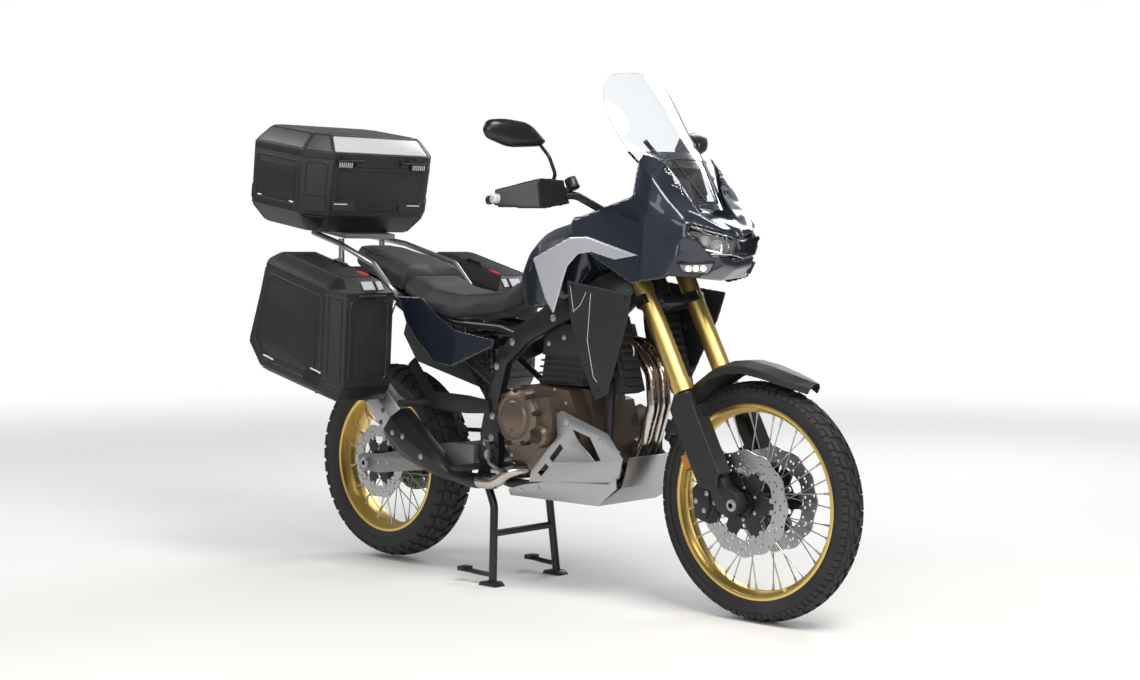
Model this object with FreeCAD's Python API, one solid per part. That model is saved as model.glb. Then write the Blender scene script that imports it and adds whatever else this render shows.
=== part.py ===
import FreeCAD, Part
import os
from math import asin, atan2, cos, degrees, hypot, pi, radians, sin, tan

# Adventure motorcycle with two side cases and a top case, parked on its centre stand.
# Millimetres. +X forward, +Y to the rider's left, +Z up. Sizes along X are measured from the
# rear axle; every piece is moved at the end so that the origin is below the middle of the machine.

# Wheels and steering geometry
WHEELBASE = 1585.0
RAKE = radians(27.5)
TRAIL = 113.0
FRONT_TYRE_R = 347.0
FRONT_TYRE_W = 94.0
FRONT_RIM_R = 281.0
FRONT_RIM_W = 68.0
REAR_TYRE_R = 333.0
REAR_TYRE_W = 150.0
REAR_RIM_R = 243.0
REAR_RIM_W = 116.0
REAR_LIFT = 10.0
RIM_DEPTH = 24.0
SPOKES = 36
SPOKE_R = 1.9
FRONT_DISC_R = 155.0
FRONT_DISC_Y = 70.0
REAR_DISC_R = 128.0
REAR_DISC_Y = 78.0
DISC_T = 4.5
DISC_INNER = 0.66
AXLE_PLAY = 0.05
SEAT_GAP = 0.3

# Fork
LEG_Y = 105.0
LEG_LEAD = 30.0
FORK_TUBE_R = 28.5
FORK_LEG_R = 22.5
FRONT_AXLE_R = 12.0
FRONT_AXLE_BORE_R = 8.0
FRONT_AXLE_END = 134.0
LOWER_CLAMP_W = 1022.0
UPPER_CLAMP_W = 1212.0
CLAMP_H = 30.0
STEM_R = 15.0
HEAD_TUBE_R = 31.0
FORK_TUBE_LOW_W = LOWER_CLAMP_W - 284.0
FORK_TUBE_TOP_W = UPPER_CLAMP_W + 24.0
BAR_W = UPPER_CLAMP_W + 100.0
BAR_AHEAD = 10.0
BAR_TUBE_R = 12.0
GRIP_R = 16.5
HOUSING_R = 22.0
HUB_END_Y = 79.0
AXLE_LUG_HALF = 21.0

# Rear suspension and drive
REAR_AXLE_R = 12.5
REAR_AXLE_BORE_R = 8.0
REAR_AXLE_END = 150.0
PIVOT_X = 598.0
PIVOT_Z = 415.0
PIVOT_R = 11.0
ARM_IN_Y = 103.0
ARM_T = 30.0
CHAIN_Y = 88.0
CHAIN_PITCH = 15.875
REAR_TEETH = 42
FRONT_TEETH = 16
SPROCKET_T = 5.5
CHAIN_GAP = 9.5
CHAIN_PLATE_T = 3.0
CHAIN_HALF_H = 7.5
OUTPUT_X = 672.0
OUTPUT_Z = 432.0
SHOCK_TOP_X = 470.0
SHOCK_TOP_Z = 780.0

# Frame and engine
SPAR_Y = 112.0
CRADLE_Y = 116.0
CRADLE_Z = 332.0
FRAME_TUBE_R = 16.0
SWING_END_X = 532.0
PORT_Y = 50.0
PORT_Z = 786.0
HEADER_START = 1026.0
PIPE_R = 19.0
LINK_X = 592.0
LINK_Y = 167.0
LINK_Z = 334.0
CLUTCH_X = 800.0
CLUTCH_Z = 553.0
CLUTCH_R = 84.0
CLUTCH_Y = 222.0
HEAD_HALF_W = 112.0
ENGINE_LOW_Z = 384.0

# Stands
STAND_PIVOT_X = 585.0
STAND_PIVOT_Z = 322.0
STAND_FOOT_X = 632.0
STAND_FOOT_Y = 146.0
STAND_TOP_Y = 123.0
STAND_TUBE_R = 13.0
STAND_PIN_R = 8.0
SIDE_STAND_X = 668.0
SIDE_STAND_Y = 150.0
SIDE_STAND_Z = 333.0
SIDE_STAND_LENGTH = 300.0
SIDE_STAND_TILT = radians(25.0)

# Cases
CASE_WALL = 4.0
TOP_CASE_TILT = radians(9.5)
TOP_CASE_X = -101.0
TOP_CASE_Z = 1185.0
TOP_CASE_L = 415.0
TOP_CASE_HALF_W = 290.0
TOP_CASE_CHAMFER_X = 72.0
TOP_CASE_CHAMFER_Y = 75.0
TOP_CASE_SEAM = 190.0
TOP_CASE_H = 271.0
TOP_CASE_DROP = 64.0
TOP_CASE_LOW_IN = 6.0
SIDE_CASE_IN_Y = 238.0
SIDE_CASE_OUT_Y = 480.0
SIDE_CASE_BEVEL = 46.0
SIDE_CASE_LID_H = 46.0
LID_GAP = 0.5
HINGE_R = 5.0
HINGE_PIN_R = 2.5
HINGE_OUT = 6.0
HINGE_HALF = 58.0
HINGE_KNUCKLE_HALF = 22.0

# Overall reach, for the origin
FRONT_REACH = WHEELBASE + FRONT_TYRE_R
REAR_REACH = TOP_CASE_X - (TOP_CASE_L - TOP_CASE_LOW_IN) * cos(TOP_CASE_TILT)
MIDDLE_X = (FRONT_REACH + REAR_REACH) / 2

FRONT_AXLE_Z = FRONT_TYRE_R
REAR_AXLE_Z = REAR_TYRE_R + REAR_LIFT

V = FreeCAD.Vector
ACROSS = V(0, 1, 0)
HEAD_DOWN = V(WHEELBASE + TRAIL, 0, 0)
STEER_UP = V(-sin(RAKE), 0, cos(RAKE))
STEER_AHEAD = V(cos(RAKE), 0, sin(RAKE))


def steer_point(ahead, y, up):
    """Point given ahead of the steering axis, across, and up along it from the ground."""
    return HEAD_DOWN + STEER_UP * up + STEER_AHEAD * ahead + ACROSS * y


def steer_place(x, z):
    """Steering coordinates (ahead, up) of a point in the middle plane."""
    d = V(x, 0, z) - HEAD_DOWN
    return d.dot(STEER_AHEAD), d.dot(STEER_UP)


def box(x, y, z):
    """Box between pairs of limits."""
    return Part.makeBox(x[1] - x[0], y[1] - y[0], z[1] - z[0], V(x[0], y[0], z[0]))


def rod(a, b, r):
    """Round bar from point a to point b."""
    a, b = V(*a), V(*b)
    return Part.makeCylinder(r, (b - a).Length, a, b - a)


def tube_between(a, b, r, bore):
    return rod(a, b, r).cut(rod(a, b, bore))


def face(points):
    points = [V(*p) for p in points]
    return Part.Face(Part.makePolygon(points + points[:1]))


def side_prism(outline, y0, y1):
    """Side outline of (x, z) points, from y0 to y1 across."""
    return face([(x, y0, z) for x, z in outline]).extrude(V(0, y1 - y0, 0))


def loft(sections):
    """Flat-sided solid through closed sections with equal numbers of points."""
    wires = []
    for section in sections:
        points = [V(*p) for p in section]
        wires.append(Part.makePolygon(points + points[:1]))
    solid = Part.makeLoft(wires, True, True)
    if solid.Volume < 0:
        solid.reverse()
    return solid


def mirror(shape):
    return shape.mirror(V(0, 0, 0), ACROSS)


def both(shape):
    """The piece and its mirror image on the other side."""
    return Part.makeCompound([shape, mirror(shape)])


def fuse(shapes):
    whole = shapes[0].multiFuse(shapes[1:]) if len(shapes) > 1 else shapes[0]
    return whole.removeSplitter()


def turned(profile, centre, axis=ACROSS):
    """Ring turned about the axis through centre; profile of (radius, along) points."""
    c = V(*centre)
    if abs(axis.y) > 0.5:
        points = [(c.x, c.y + along, c.z + r) for r, along in profile]
    else:
        points = [(c.x + along, c.y, c.z + r) for r, along in profile]
    return face(points).revolve(c, axis, 360)


def bent_tube(points, r, bend=60.0):
    """Round tube along straight runs joined by arcs."""
    p = [V(*q) for q in points]
    edges, start = [], p[0]
    for i in range(1, len(p) - 1):
        a, b = (p[i - 1] - p[i]), (p[i + 1] - p[i])
        la, lb = a.Length, b.Length
        a.normalize()
        b.normalize()
        half_turn = (pi - a.getAngle(b)) / 2
        if half_turn < 0.01:
            continue
        back = min(bend * tan(half_turn), 0.45 * min(la, lb))
        arc_r = back / tan(half_turn)
        middle = (a + b)
        middle.normalize()
        centre_d = arc_r / cos(half_turn)
        t0, t1 = p[i] + a * back, p[i] + b * back
        top = p[i] + middle * (centre_d - arc_r)
        edges.append(Part.LineSegment(start, t0).toShape())
        edges.append(Part.Arc(t0, top, t1).toShape())
        start = t1
    edges.append(Part.LineSegment(start, p[-1]).toShape())
    path = Part.Wire(edges)
    ring = Part.Wire([Part.makeCircle(r, p[0], p[1] - p[0])])
    pipe = path.makePipeShell([ring], True, False)
    if pipe.Volume < 0:
        pipe.reverse()
    return pipe


def sloped_plate(outline, plane, thick):
    """Panel with a side outline of (x, z) points, lying on y = plane(x, z), thick inwards."""
    return face([(x, plane(x, z), z) for x, z in outline]).extrude(V(0, -thick, 0))


def plane_through(a, b, c):
    """y as a function of (x, z) for the plane through three (x, y, z) points."""
    a, b, c = V(*a), V(*b), V(*c)
    n = (b - a).cross(c - a)
    return lambda x, z: a.y - (n.x * (x - a.x) + n.z * (z - a.z)) / n.y


def inset(outline, d):
    """Convex outline drawn in by d on every side; its turn sense is kept."""
    n = len(outline)
    area = sum(outline[i][0] * outline[(i + 1) % n][1] - outline[(i + 1) % n][0] * outline[i][1]
               for i in range(n))
    side = d if area > 0 else -d
    lines = []
    for i in range(n):
        (x0, z0), (x1, z1) = outline[i], outline[(i + 1) % n]
        length = hypot(x1 - x0, z1 - z0)
        nx, nz = -(z1 - z0) / length, (x1 - x0) / length
        lines.append(((x0 + nx * side, z0 + nz * side), (x1 - x0, z1 - z0)))
    points = []
    for i in range(n):
        (px, pz), (ux, uz) = lines[i - 1]
        (qx, qz), (vx, vz) = lines[i]
        t = ((qx - px) * vz - (qz - pz) * vx) / (ux * vz - uz * vx)
        points.append((px + ux * t, pz + uz * t))
    return points


pieces = {}


def save(name, shape):
    pieces[name] = shape


def write_all():
    """One STEP file per piece, moved so that the origin is below the machine's middle."""
    os.makedirs("parts", exist_ok=True)
    for name, shape in pieces.items():
        moved = shape.copy()
        moved.translate(V(-MIDDLE_X, 0, 0))
        moved.exportStep("parts/" + name + ".step")


def tyre(radius, width, rim_r, rim_w, centre, crown):
    """Tyre section of arcs: tread crown and two side walls round the rim seat."""
    c = V(*centre)
    half, seat = width / 2, rim_w / 2 - 6.6
    shoulder_r = radius - crown
    wall_r = (shoulder_r + rim_r) / 2 + 6
    at = lambda r, y: V(c.x, c.y + y, c.z + r)
    bead, inner_r = rim_r - 8.6, rim_r + 4
    lip_r, lip = rim_r + 1, rim_w / 2 - 4.3
    edges = [
        Part.Arc(at(shoulder_r, -half + 5), at(radius, 0), at(shoulder_r, half - 5)).toShape(),
        Part.Arc(at(shoulder_r, half - 5), at(wall_r, half), at(lip_r, lip)).toShape(),
        Part.LineSegment(at(lip_r, lip), at(bead, seat)).toShape(),
        Part.LineSegment(at(bead, seat), at(bead, seat - 8)).toShape(),
        Part.Arc(at(bead, seat - 8), at(inner_r + 12, 0), at(bead, -seat + 8)).toShape(),
        Part.LineSegment(at(bead, -seat + 8), at(bead, -seat)).toShape(),
        Part.LineSegment(at(bead, -seat), at(lip_r, -lip)).toShape(),
        Part.Arc(at(lip_r, -lip), at(wall_r, -half), at(shoulder_r, -half + 5)).toShape(),
    ]
    return Part.Face(Part.Wire(edges)).revolve(c, ACROSS, 360)


def rim(rim_r, rim_w, centre):
    """Spoked rim: flanges at both edges and a dropped well."""
    half, well = rim_w / 2, rim_r - RIM_DEPTH
    profile = [
        (rim_r, -half), (rim_r, -half + 4), (rim_r - 9, -half + 6), (rim_r - 10, -half + 16),
        (well + 4, -half * 0.35), (well + 4, half * 0.35), (rim_r - 10, half - 16),
        (rim_r - 9, half - 6), (rim_r, half - 4), (rim_r, half), (rim_r - 13, half),
        (well, half * 0.45), (well, -half * 0.45), (rim_r - 13, -half),
    ]
    return turned(profile, centre)


def spoke_set(centre, flange_r, flange_y, rim_r, rim_y, spread):
    """Crossed spokes as thin six-sided bars from the hub flanges to the rim well."""
    c = V(*centre)
    bars = []
    per_side = SPOKES // 2
    for side in (-1, 1):
        for i in range(per_side):
            lead = 1 if i % 2 else -1
            hub_angle = 2 * pi * (i + 0.25 * side) / per_side
            rim_angle = hub_angle + lead * spread
            hub_y = side * (flange_y + 3 * lead)
            a = c + V(flange_r * cos(hub_angle), hub_y, flange_r * sin(hub_angle))
            b = c + V(rim_r * cos(rim_angle), side * rim_y, rim_r * sin(rim_angle))
            along = b - a
            length = along.Length
            along.normalize()
            u = along.cross(ACROSS)
            u.normalize()
            w = along.cross(u)
            ring = [a + u * (SPOKE_R * cos(k * pi / 3)) + w * (SPOKE_R * sin(k * pi / 3)) for k in range(6)]
            bars.append(Part.Face(Part.makePolygon(ring + ring[:1])).extrude(along * length))
    return bars


def hub(centre, profile, bore_r, flange_r, flange_y, rim_r, rim_y, spread):
    """Turned hub with its spokes."""
    body = turned(profile, centre)
    c = V(*centre)
    body = body.cut(rod(c + ACROSS * -200, c + ACROSS * 200, bore_r))
    return body.multiFuse(spoke_set(centre, flange_r, flange_y, rim_r, rim_y, spread))


def brake_disc(radius, y, centre, hub_r, waves, holes):
    """Disc with a wavy rim, an open ring of arms and rows of drilled holes."""
    c = V(*centre)
    steps = waves * 4
    outline = []
    for k in range(steps):
        a = 2 * pi * k / steps
        r = radius - (3.5 if k % 4 >= 2 else 0)
        outline.append((c.x + r * cos(a), c.z + r * sin(a)))
    disc = side_prism(outline, c.y + y - DISC_T / 2, c.y + y + DISC_T / 2)
    span = DISC_T
    inner = radius * DISC_INNER
    windows = []
    arms = 5
    for k in range(arms):
        a0, a1 = 2 * pi * (k + 0.12) / arms, 2 * pi * (k + 0.88) / arms
        mid = (a0 + a1) / 2
        pts = [(inner * cos(a), inner * sin(a)) for a in (a0, mid - 0.2, mid + 0.2, a1)]
        pts += [((hub_r + 16) * cos(a), (hub_r + 16) * sin(a)) for a in (a1 - 0.05, mid, a0 + 0.05)]
        windows.append(side_prism([(c.x + x, c.z + z) for x, z in pts], c.y + y - span, c.y + y + span))
    windows.append(rod(c + ACROSS * (y - span), c + ACROSS * (y + span), hub_r))
    for k in range(holes):
        a = 2 * pi * (k + 0.5) / holes
        r = radius * (0.78 if k % 2 else 0.9)
        p = c + V(r * cos(a), 0, r * sin(a))
        windows.append(side_prism([(p.x + 4 * cos(j * pi / 2),
                                    p.z + 4 * sin(j * pi / 2)) for j in range(4)],
                                  c.y + y - span, c.y + y + span))
    return disc.cut(windows)


FRONT_AXLE = (WHEELBASE, 0, FRONT_AXLE_Z)
REAR_AXLE = (0, 0, REAR_AXLE_Z)


def front_wheel():
    save("front_tyre", tyre(FRONT_TYRE_R, FRONT_TYRE_W, FRONT_RIM_R, FRONT_RIM_W, FRONT_AXLE, 24))
    save("front_rim", rim(FRONT_RIM_R, FRONT_RIM_W, FRONT_AXLE))
    disc_seat = FRONT_DISC_Y - DISC_T / 2 - SEAT_GAP
    profile = [(33, -HUB_END_Y), (33, -disc_seat), (58, -disc_seat), (58, -disc_seat + 9), (30, -44),
               (48, -40), (48, -28), (26, -22), (26, 22), (48, 28), (48, 40), (30, 44),
               (58, disc_seat - 9), (58, disc_seat), (33, disc_seat), (33, HUB_END_Y),
               (8, HUB_END_Y), (8, -HUB_END_Y)]
    reach = FRONT_RIM_R - RIM_DEPTH - SEAT_GAP
    save("front_hub", hub(FRONT_AXLE, profile, FRONT_AXLE_R + AXLE_PLAY, 43, 34, reach, 10, radians(28)))
    discs = [brake_disc(FRONT_DISC_R, s * FRONT_DISC_Y, FRONT_AXLE, 40, 12, 24) for s in (-1, 1)]
    save("front_discs", Part.makeCompound(discs))


def rear_wheel():
    save("rear_tyre", tyre(REAR_TYRE_R, REAR_TYRE_W, REAR_RIM_R, REAR_RIM_W, REAR_AXLE, 38))
    save("rear_rim", rim(REAR_RIM_R, REAR_RIM_W, REAR_AXLE))
    disc_seat = REAR_DISC_Y - DISC_T / 2 - SEAT_GAP
    sprocket_seat = CHAIN_Y - SPROCKET_T / 2 - SEAT_GAP
    profile = [(30, -96), (30, -disc_seat), (50, -disc_seat), (50, -disc_seat + 9), (32, -54), (62, -48),
               (62, -36),
               (34, -26), (34, 26), (62, 36), (62, 48), (48, 54), (74, sprocket_seat - 18),
               (74, sprocket_seat), (32, sprocket_seat), (32, 98), (8, 98), (8, -96)]
    reach = REAR_RIM_R - RIM_DEPTH - SEAT_GAP
    save("rear_hub", hub(REAR_AXLE, profile, REAR_AXLE_R + AXLE_PLAY, 57, 42, reach, 20, radians(30)))
    save("rear_disc", brake_disc(REAR_DISC_R, -REAR_DISC_Y, REAR_AXLE, 38, 10, 20))
    save("rear_sprocket", sprocket(REAR_TEETH, REAR_AXLE, 40))


def sprocket(teeth, centre, bore):
    """Chain wheel: tooth tips and roots on two circles, with six round windows."""
    c = V(*centre)
    pitch_r = CHAIN_PITCH / (2 * sin(pi / teeth))
    outline = []
    for k in range(teeth):
        a = 2 * pi * k / teeth
        w = pi / teeth
        for da, r in ((-0.22 * w, pitch_r + 4), (0.22 * w, pitch_r + 4), (0.8 * w, pitch_r - 5),
                      (1.2 * w, pitch_r - 5)):
            outline.append((c.x + r * cos(a + da), c.z + r * sin(a + da)))
    y0, y1 = CHAIN_Y - SPROCKET_T / 2, CHAIN_Y + SPROCKET_T / 2
    wheel = side_prism(outline, y0, y1)
    cuts = [rod(c + ACROSS * (y0 - 1), c + ACROSS * (y1 + 1), bore)]
    for k in range(6):
        a = 2 * pi * k / 6
        p = c + V(pitch_r * 0.8 * cos(a), 0, pitch_r * 0.8 * sin(a))
        cuts.append(rod(p + ACROSS * (y0 - 1), p + ACROSS * (y1 + 1), 8))
    return wheel.cut(cuts)


def fork():
    """Upside-down fork: fat upper tubes, slim lower legs with axle lugs, clamps and stem."""
    tubes, legs = [], []
    axle_ahead, axle_up = steer_place(WHEELBASE, FRONT_AXLE_Z)
    for s in (-1, 1):
        low, top = steer_point(LEG_LEAD, s * LEG_Y, FORK_TUBE_LOW_W), steer_point(LEG_LEAD, s * LEG_Y,
                                                                                  FORK_TUBE_TOP_W)
        tube = rod(low, top, FORK_TUBE_R)
        collar = rod(low - STEER_UP * 14, low + STEER_UP * 22, FORK_TUBE_R + 3)
        tubes.append(tube.fuse(collar).cut(rod(low - STEER_UP * 20, low + STEER_UP * 150,
                                               FORK_LEG_R + AXLE_PLAY)))
        leg = rod(steer_point(LEG_LEAD, s * LEG_Y, axle_up + 30), low + STEER_UP * 149, FORK_LEG_R)
        lug_outline = [(LEG_LEAD - 26, axle_up + 105), (LEG_LEAD - 28, axle_up + 10),
                       (LEG_LEAD - 4, axle_up - 24),
                       (axle_ahead + 6, axle_up - 24), (axle_ahead + 24, axle_up - 6), (axle_ahead + 22,
                                                                                        axle_up + 22),
                       (LEG_LEAD + 26, axle_up + 60), (LEG_LEAD + 26, axle_up + 105)]
        y0 = s * LEG_Y - AXLE_LUG_HALF
        lug = face([steer_point(a, y0, w) for a, w in lug_outline]).extrude(ACROSS * (2 * AXLE_LUG_HALF))
        bore = rod((WHEELBASE, s * 60, FRONT_AXLE_Z), (WHEELBASE, s * 150, FRONT_AXLE_Z),
                   FRONT_AXLE_R + AXLE_PLAY)
        legs.append(fuse([leg, lug]).cut(bore))
    save("fork_tubes", Part.makeCompound(tubes))
    save("fork_legs", Part.makeCompound(legs))
    ends = (WHEELBASE, -FRONT_AXLE_END, FRONT_AXLE_Z), (WHEELBASE, FRONT_AXLE_END, FRONT_AXLE_Z)
    axle = rod(*ends, FRONT_AXLE_R)
    nut = [rod((WHEELBASE, s * (LEG_Y + AXLE_LUG_HALF + SEAT_GAP), FRONT_AXLE_Z),
               (WHEELBASE, s * (FRONT_AXLE_END - 4), FRONT_AXLE_Z), 17)
           for s in (-1, 1)]
    save("front_axle", fuse([axle] + nut).cut(rod(*ends, FRONT_AXLE_BORE_R)))


def triple_clamp():
    """Lower and upper fork clamps joined by the steering stem, with the bar risers."""
    shapes = []
    for up, front, back in ((LOWER_CLAMP_W, 34, -36), (UPPER_CLAMP_W, 30, -30)):
        outline = [(LEG_LEAD + front, -LEG_Y + 20), (LEG_LEAD + 12, -LEG_Y - 38),
                   (LEG_LEAD - 22, -LEG_Y - 36),
                   (back, -38), (back, 38), (LEG_LEAD - 22, LEG_Y + 36), (LEG_LEAD + 12, LEG_Y + 38),
                   (LEG_LEAD + front, LEG_Y - 20), (LEG_LEAD + 8, 48), (LEG_LEAD + 8, -48)]
        plate = face([steer_point(a, y, up - CLAMP_H / 2) for a, y in outline]).extrude(STEER_UP * CLAMP_H)
        for s in (-1, 1):
            plate = plate.cut(rod(steer_point(LEG_LEAD, s * LEG_Y, up - 40),
                                  steer_point(LEG_LEAD, s * LEG_Y, up + 40),
                                  FORK_TUBE_R + AXLE_PLAY))
        shapes.append(plate)
    shapes.append(rod(steer_point(0, 0, LOWER_CLAMP_W - 20), steer_point(0, 0, UPPER_CLAMP_W + 24), STEM_R))
    for s in (-1, 1):
        riser_top = steer_point(BAR_AHEAD, s * 52, BAR_W + 14)
        shapes.append(rod(steer_point(0, s * 52, UPPER_CLAMP_W), riser_top, 15))
    bar_gap = rod(steer_point(BAR_AHEAD, -90, BAR_W), steer_point(BAR_AHEAD, 90, BAR_W),
                  BAR_TUBE_R + AXLE_PLAY)
    save("triple_clamps", fuse(shapes).cut(bar_gap))


# Handlebar line, one side: ahead of the axis, across, up the axis
BAR_ROUTE = [(BAR_AHEAD, 0, BAR_W), (BAR_AHEAD, 90, BAR_W), (4, 215, BAR_W + 74), (-94, 455, BAR_W + 106)]


def bar_point(t):
    """Point on the straight grip run, t from its inner end (0) to its outer end (1)."""
    a, b = BAR_ROUTE[-2], BAR_ROUTE[-1]
    return steer_point(*[p + (q - p) * t for p, q in zip(a, b)])


def handlebar():
    left = [steer_point(a, y, w) for a, y, w in BAR_ROUTE]
    right = [steer_point(a, -y, w) for a, y, w in BAR_ROUTE]
    save("handlebar", bent_tube(right[::-1] + left[1:], BAR_TUBE_R, 70))
    grip_start, grip_end = bar_point(0.52), bar_point(0.985)
    grip = tube_between(grip_start, grip_end, GRIP_R, BAR_TUBE_R + AXLE_PLAY)
    save("grips", both(grip))


def hand_controls():
    """Switch housing, lever and reservoir on each side."""
    bore = rod(bar_point(0.0), bar_point(0.9), BAR_TUBE_R + AXLE_PLAY)
    housing = rod(bar_point(0.20), bar_point(0.44), HOUSING_R)
    mount = rod(bar_point(0.36), bar_point(0.36) + STEER_AHEAD * 38, 11)
    lever = bent_tube([bar_point(0.32) + STEER_AHEAD * 34,
                       bar_point(0.56) + STEER_AHEAD * 50 - STEER_UP * 4,
                       bar_point(0.93) + STEER_AHEAD * 34 - STEER_UP * 6], 5.5, 60)
    cup_at = bar_point(0.06) + STEER_AHEAD * 20 + STEER_UP * 12
    cup = rod(cup_at, cup_at + STEER_UP * 32, 19)
    neck = rod(bar_point(0.22), cup_at + STEER_UP * 8, 9)
    save("hand_controls", both(fuse([housing, mount, lever, cup, neck]).cut(bore)))


def handguards():
    """Deflector shells in front of the levers, carried by a stay from the bar-end weight."""
    low_in, low_out = V(1092, 268, 1202), V(985, 462, 1190)
    top_in, top_mid, top_out = V(1086, 290, 1276), V(1052, 372, 1278), V(978, 470, 1244)
    low_mid = V(1062, 372, 1184)
    bow = V(22, 12, 0)
    shell = loft([[low_in, top_in, top_in - V(5, 1, 0), low_in - V(5, 1, 0)],
                  [low_mid + bow, top_mid + bow, top_mid + bow - V(5, 2, 0), low_mid + bow - V(5, 2, 0)],
                  [low_out + V(2, 4, 0), top_out + V(2, 4, 0), top_out - V(3, 0, 0), low_out - V(3, 0, 0)]])
    start = bar_point(1.0) + (bar_point(1.0) - bar_point(0.9)) * (SEAT_GAP / 26)
    weight_end = bar_point(1.0) + (bar_point(1.0) - bar_point(0.9)) * 0.9
    weight = rod(start, weight_end, 14)
    stay = rod(start * 0.35 + weight_end * 0.65, (low_out + top_out) * 0.5 + V(1, 1, 0), 6.5)
    save("handguards", both(fuse([shell, weight, stay])))


def mirrors():
    """Stem rising from the control housing to a blade-shaped head."""
    root = bar_point(0.30) + STEER_UP * 20
    housing_room = rod(bar_point(0.20), bar_point(0.44), HOUSING_R + SEAT_GAP)
    stem = bent_tube([root, V(1052, 292, 1290), V(1046, 312, 1342), V(1004, 318, 1388), V(996, 345, 1402)],
                     5.5, 30)
    # Head outline seen from behind: across, up
    outline = [(295, 1386), (352, 1440), (440, 1450), (492, 1444), (506, 1416), (494, 1392), (420, 1366),
               (318, 1372)]
    middle_y, middle_z = 405.0, 1410.0

    def ring(x, scale):
        return [(x + (y - middle_y) * -0.22, middle_y + (y - middle_y) * scale,
                 middle_z + (z - middle_z) * scale)
                for y, z in outline]

    head = loft([ring(984, 0.97), ring(990, 1.0), ring(1000, 0.96), ring(1014, 0.6)])
    save("mirrors", both(fuse([stem, head]).cut(housing_room)))


def eased(rows):
    """Stations with one more between each two, on the curve through their neighbours."""
    before = [2 * p - q for p, q in zip(rows[0], rows[1])]
    after = [2 * p - q for p, q in zip(rows[-1], rows[-2])]
    points = [before] + [list(row) for row in rows] + [after]
    out = []
    for a, b, c, d in zip(points, points[1:], points[2:], points[3:]):
        out += [b, [(9 * (q + r) - p - u) / 16 for p, q, r, u in zip(a, b, c, d)]]
    return out + [points[-2]]


def front_fender():
    """Long front mudguard with a raised spine and a curled edge."""
    cx, cz = WHEELBASE, FRONT_AXLE_Z
    # Stations along the top: x, z, half width
    stations = [(cx - 322, cz + 165, 58), (cx - 250, cz + 282, 66), (cx - 130, cz + 376, 76),
                (cx - 10, cz + 398, 76), (cx + 120, cz + 368, 56), (cx + 200, cz + 342, 24)]
    sections = []
    for x, z, w in eased(stations):
        a = atan2(z - cz, x - cx)
        n = V(cos(a), 0, sin(a))
        top = V(x, 0, z)
        half = [(n * 8, 0.35 * w), (n * -8, w), (n * -30, w), (n * -30, w - 4), (n * -11, w - 5),
                (n * 4, 0.33 * w)]
        sections.append([top + d + ACROSS * y for d, y in half] + [top + d - ACROSS * y for d,
                                                                   y in half[::-1]])
    posts = []
    for s in (-1, 1):
        end = LEG_Y - FORK_TUBE_R - 3 - SEAT_GAP
        posts.append(rod(steer_point(LEG_LEAD, s * 62, 722), steer_point(LEG_LEAD, s * end, 722), 9))
    save("front_fender", fuse([loft(sections)] + posts))


def fork_guards():
    """Shields in front of and beside the slim legs, each with a bridge to the mudguard."""
    axle_up = steer_place(WHEELBASE, FRONT_AXLE_Z)[1]
    front = LEG_LEAD + FORK_TUBE_R + 8
    blades = []
    for s in (-1, 1):
        outline = [(LEG_LEAD - 46, axle_up + 92), (LEG_LEAD + 10, axle_up + 50), (front, axle_up + 90),
                   (front, axle_up + 280), (front + 16, axle_up + 345), (LEG_LEAD - 10, axle_up + 362),
                   (LEG_LEAD - 44, axle_up + 330)]
        y_in, y_out = s * (LEG_Y + FORK_TUBE_R + 6), s * (LEG_Y + FORK_TUBE_R + 11)
        shield = face([steer_point(a, y_in, w) for a, w in outline]).extrude(ACROSS * (y_out - y_in))
        panel = [(y_out, axle_up + 90), (s * (LEG_Y - 18), axle_up + 90), (s * (LEG_Y - 18), axle_up + 275),
                 (y_out, axle_up + 275)]
        nose = face([steer_point(front, y, w) for y, w in panel]).extrude(STEER_AHEAD * 5)
        bridge = face([steer_point(front, y, w) for y, w in
                       ((y_out, axle_up + 272), (y_out, axle_up + 300), (s * 84, axle_up + 318),
                        (s * 84, axle_up + 290))])
        boss = rod(steer_point(LEG_LEAD, s * (LEG_Y + FORK_LEG_R + SEAT_GAP), axle_up + 84),
                   steer_point(LEG_LEAD, y_in, axle_up + 84), 9)
        blades.append(fuse([shield, nose, boss, bridge.extrude(STEER_AHEAD * 6)]))
    save("fork_guards", Part.makeCompound(blades))


def front_calipers():
    """Brake callipers behind the legs, each straddling its disc."""
    cx, cz = WHEELBASE, FRONT_AXLE_Z
    outline = [(cx - 158, cz - 52), (cx - 104, cz - 66), (cx - 84, cz - 20), (cx - 88, cz + 44),
               (cx - 132, cz + 64),
               (cx - 168, cz + 30)]
    blocks = []
    for s in (-1, 1):
        block = side_prism(outline, s * 54, s * 100)
        lip = side_prism(inset(outline, 12), s * 100, s * 110)
        lug = side_prism([(cx - 92, cz - 10), (cx - 40, cz - 4), (cx - 50, cz + 34), (cx - 90, cz + 30)],
                         s * 86, s * 100)
        c = V(cx, s * FRONT_DISC_Y, cz)
        slot = rod(c - ACROSS * (DISC_T / 2 + 2), c + ACROSS * (DISC_T / 2 + 2), FRONT_DISC_R + 4)
        blocks.append(fuse([block, lip, lug]).cut([slot, pieces["fork_legs"]]))
    save("front_calipers", Part.makeCompound(blocks))


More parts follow.
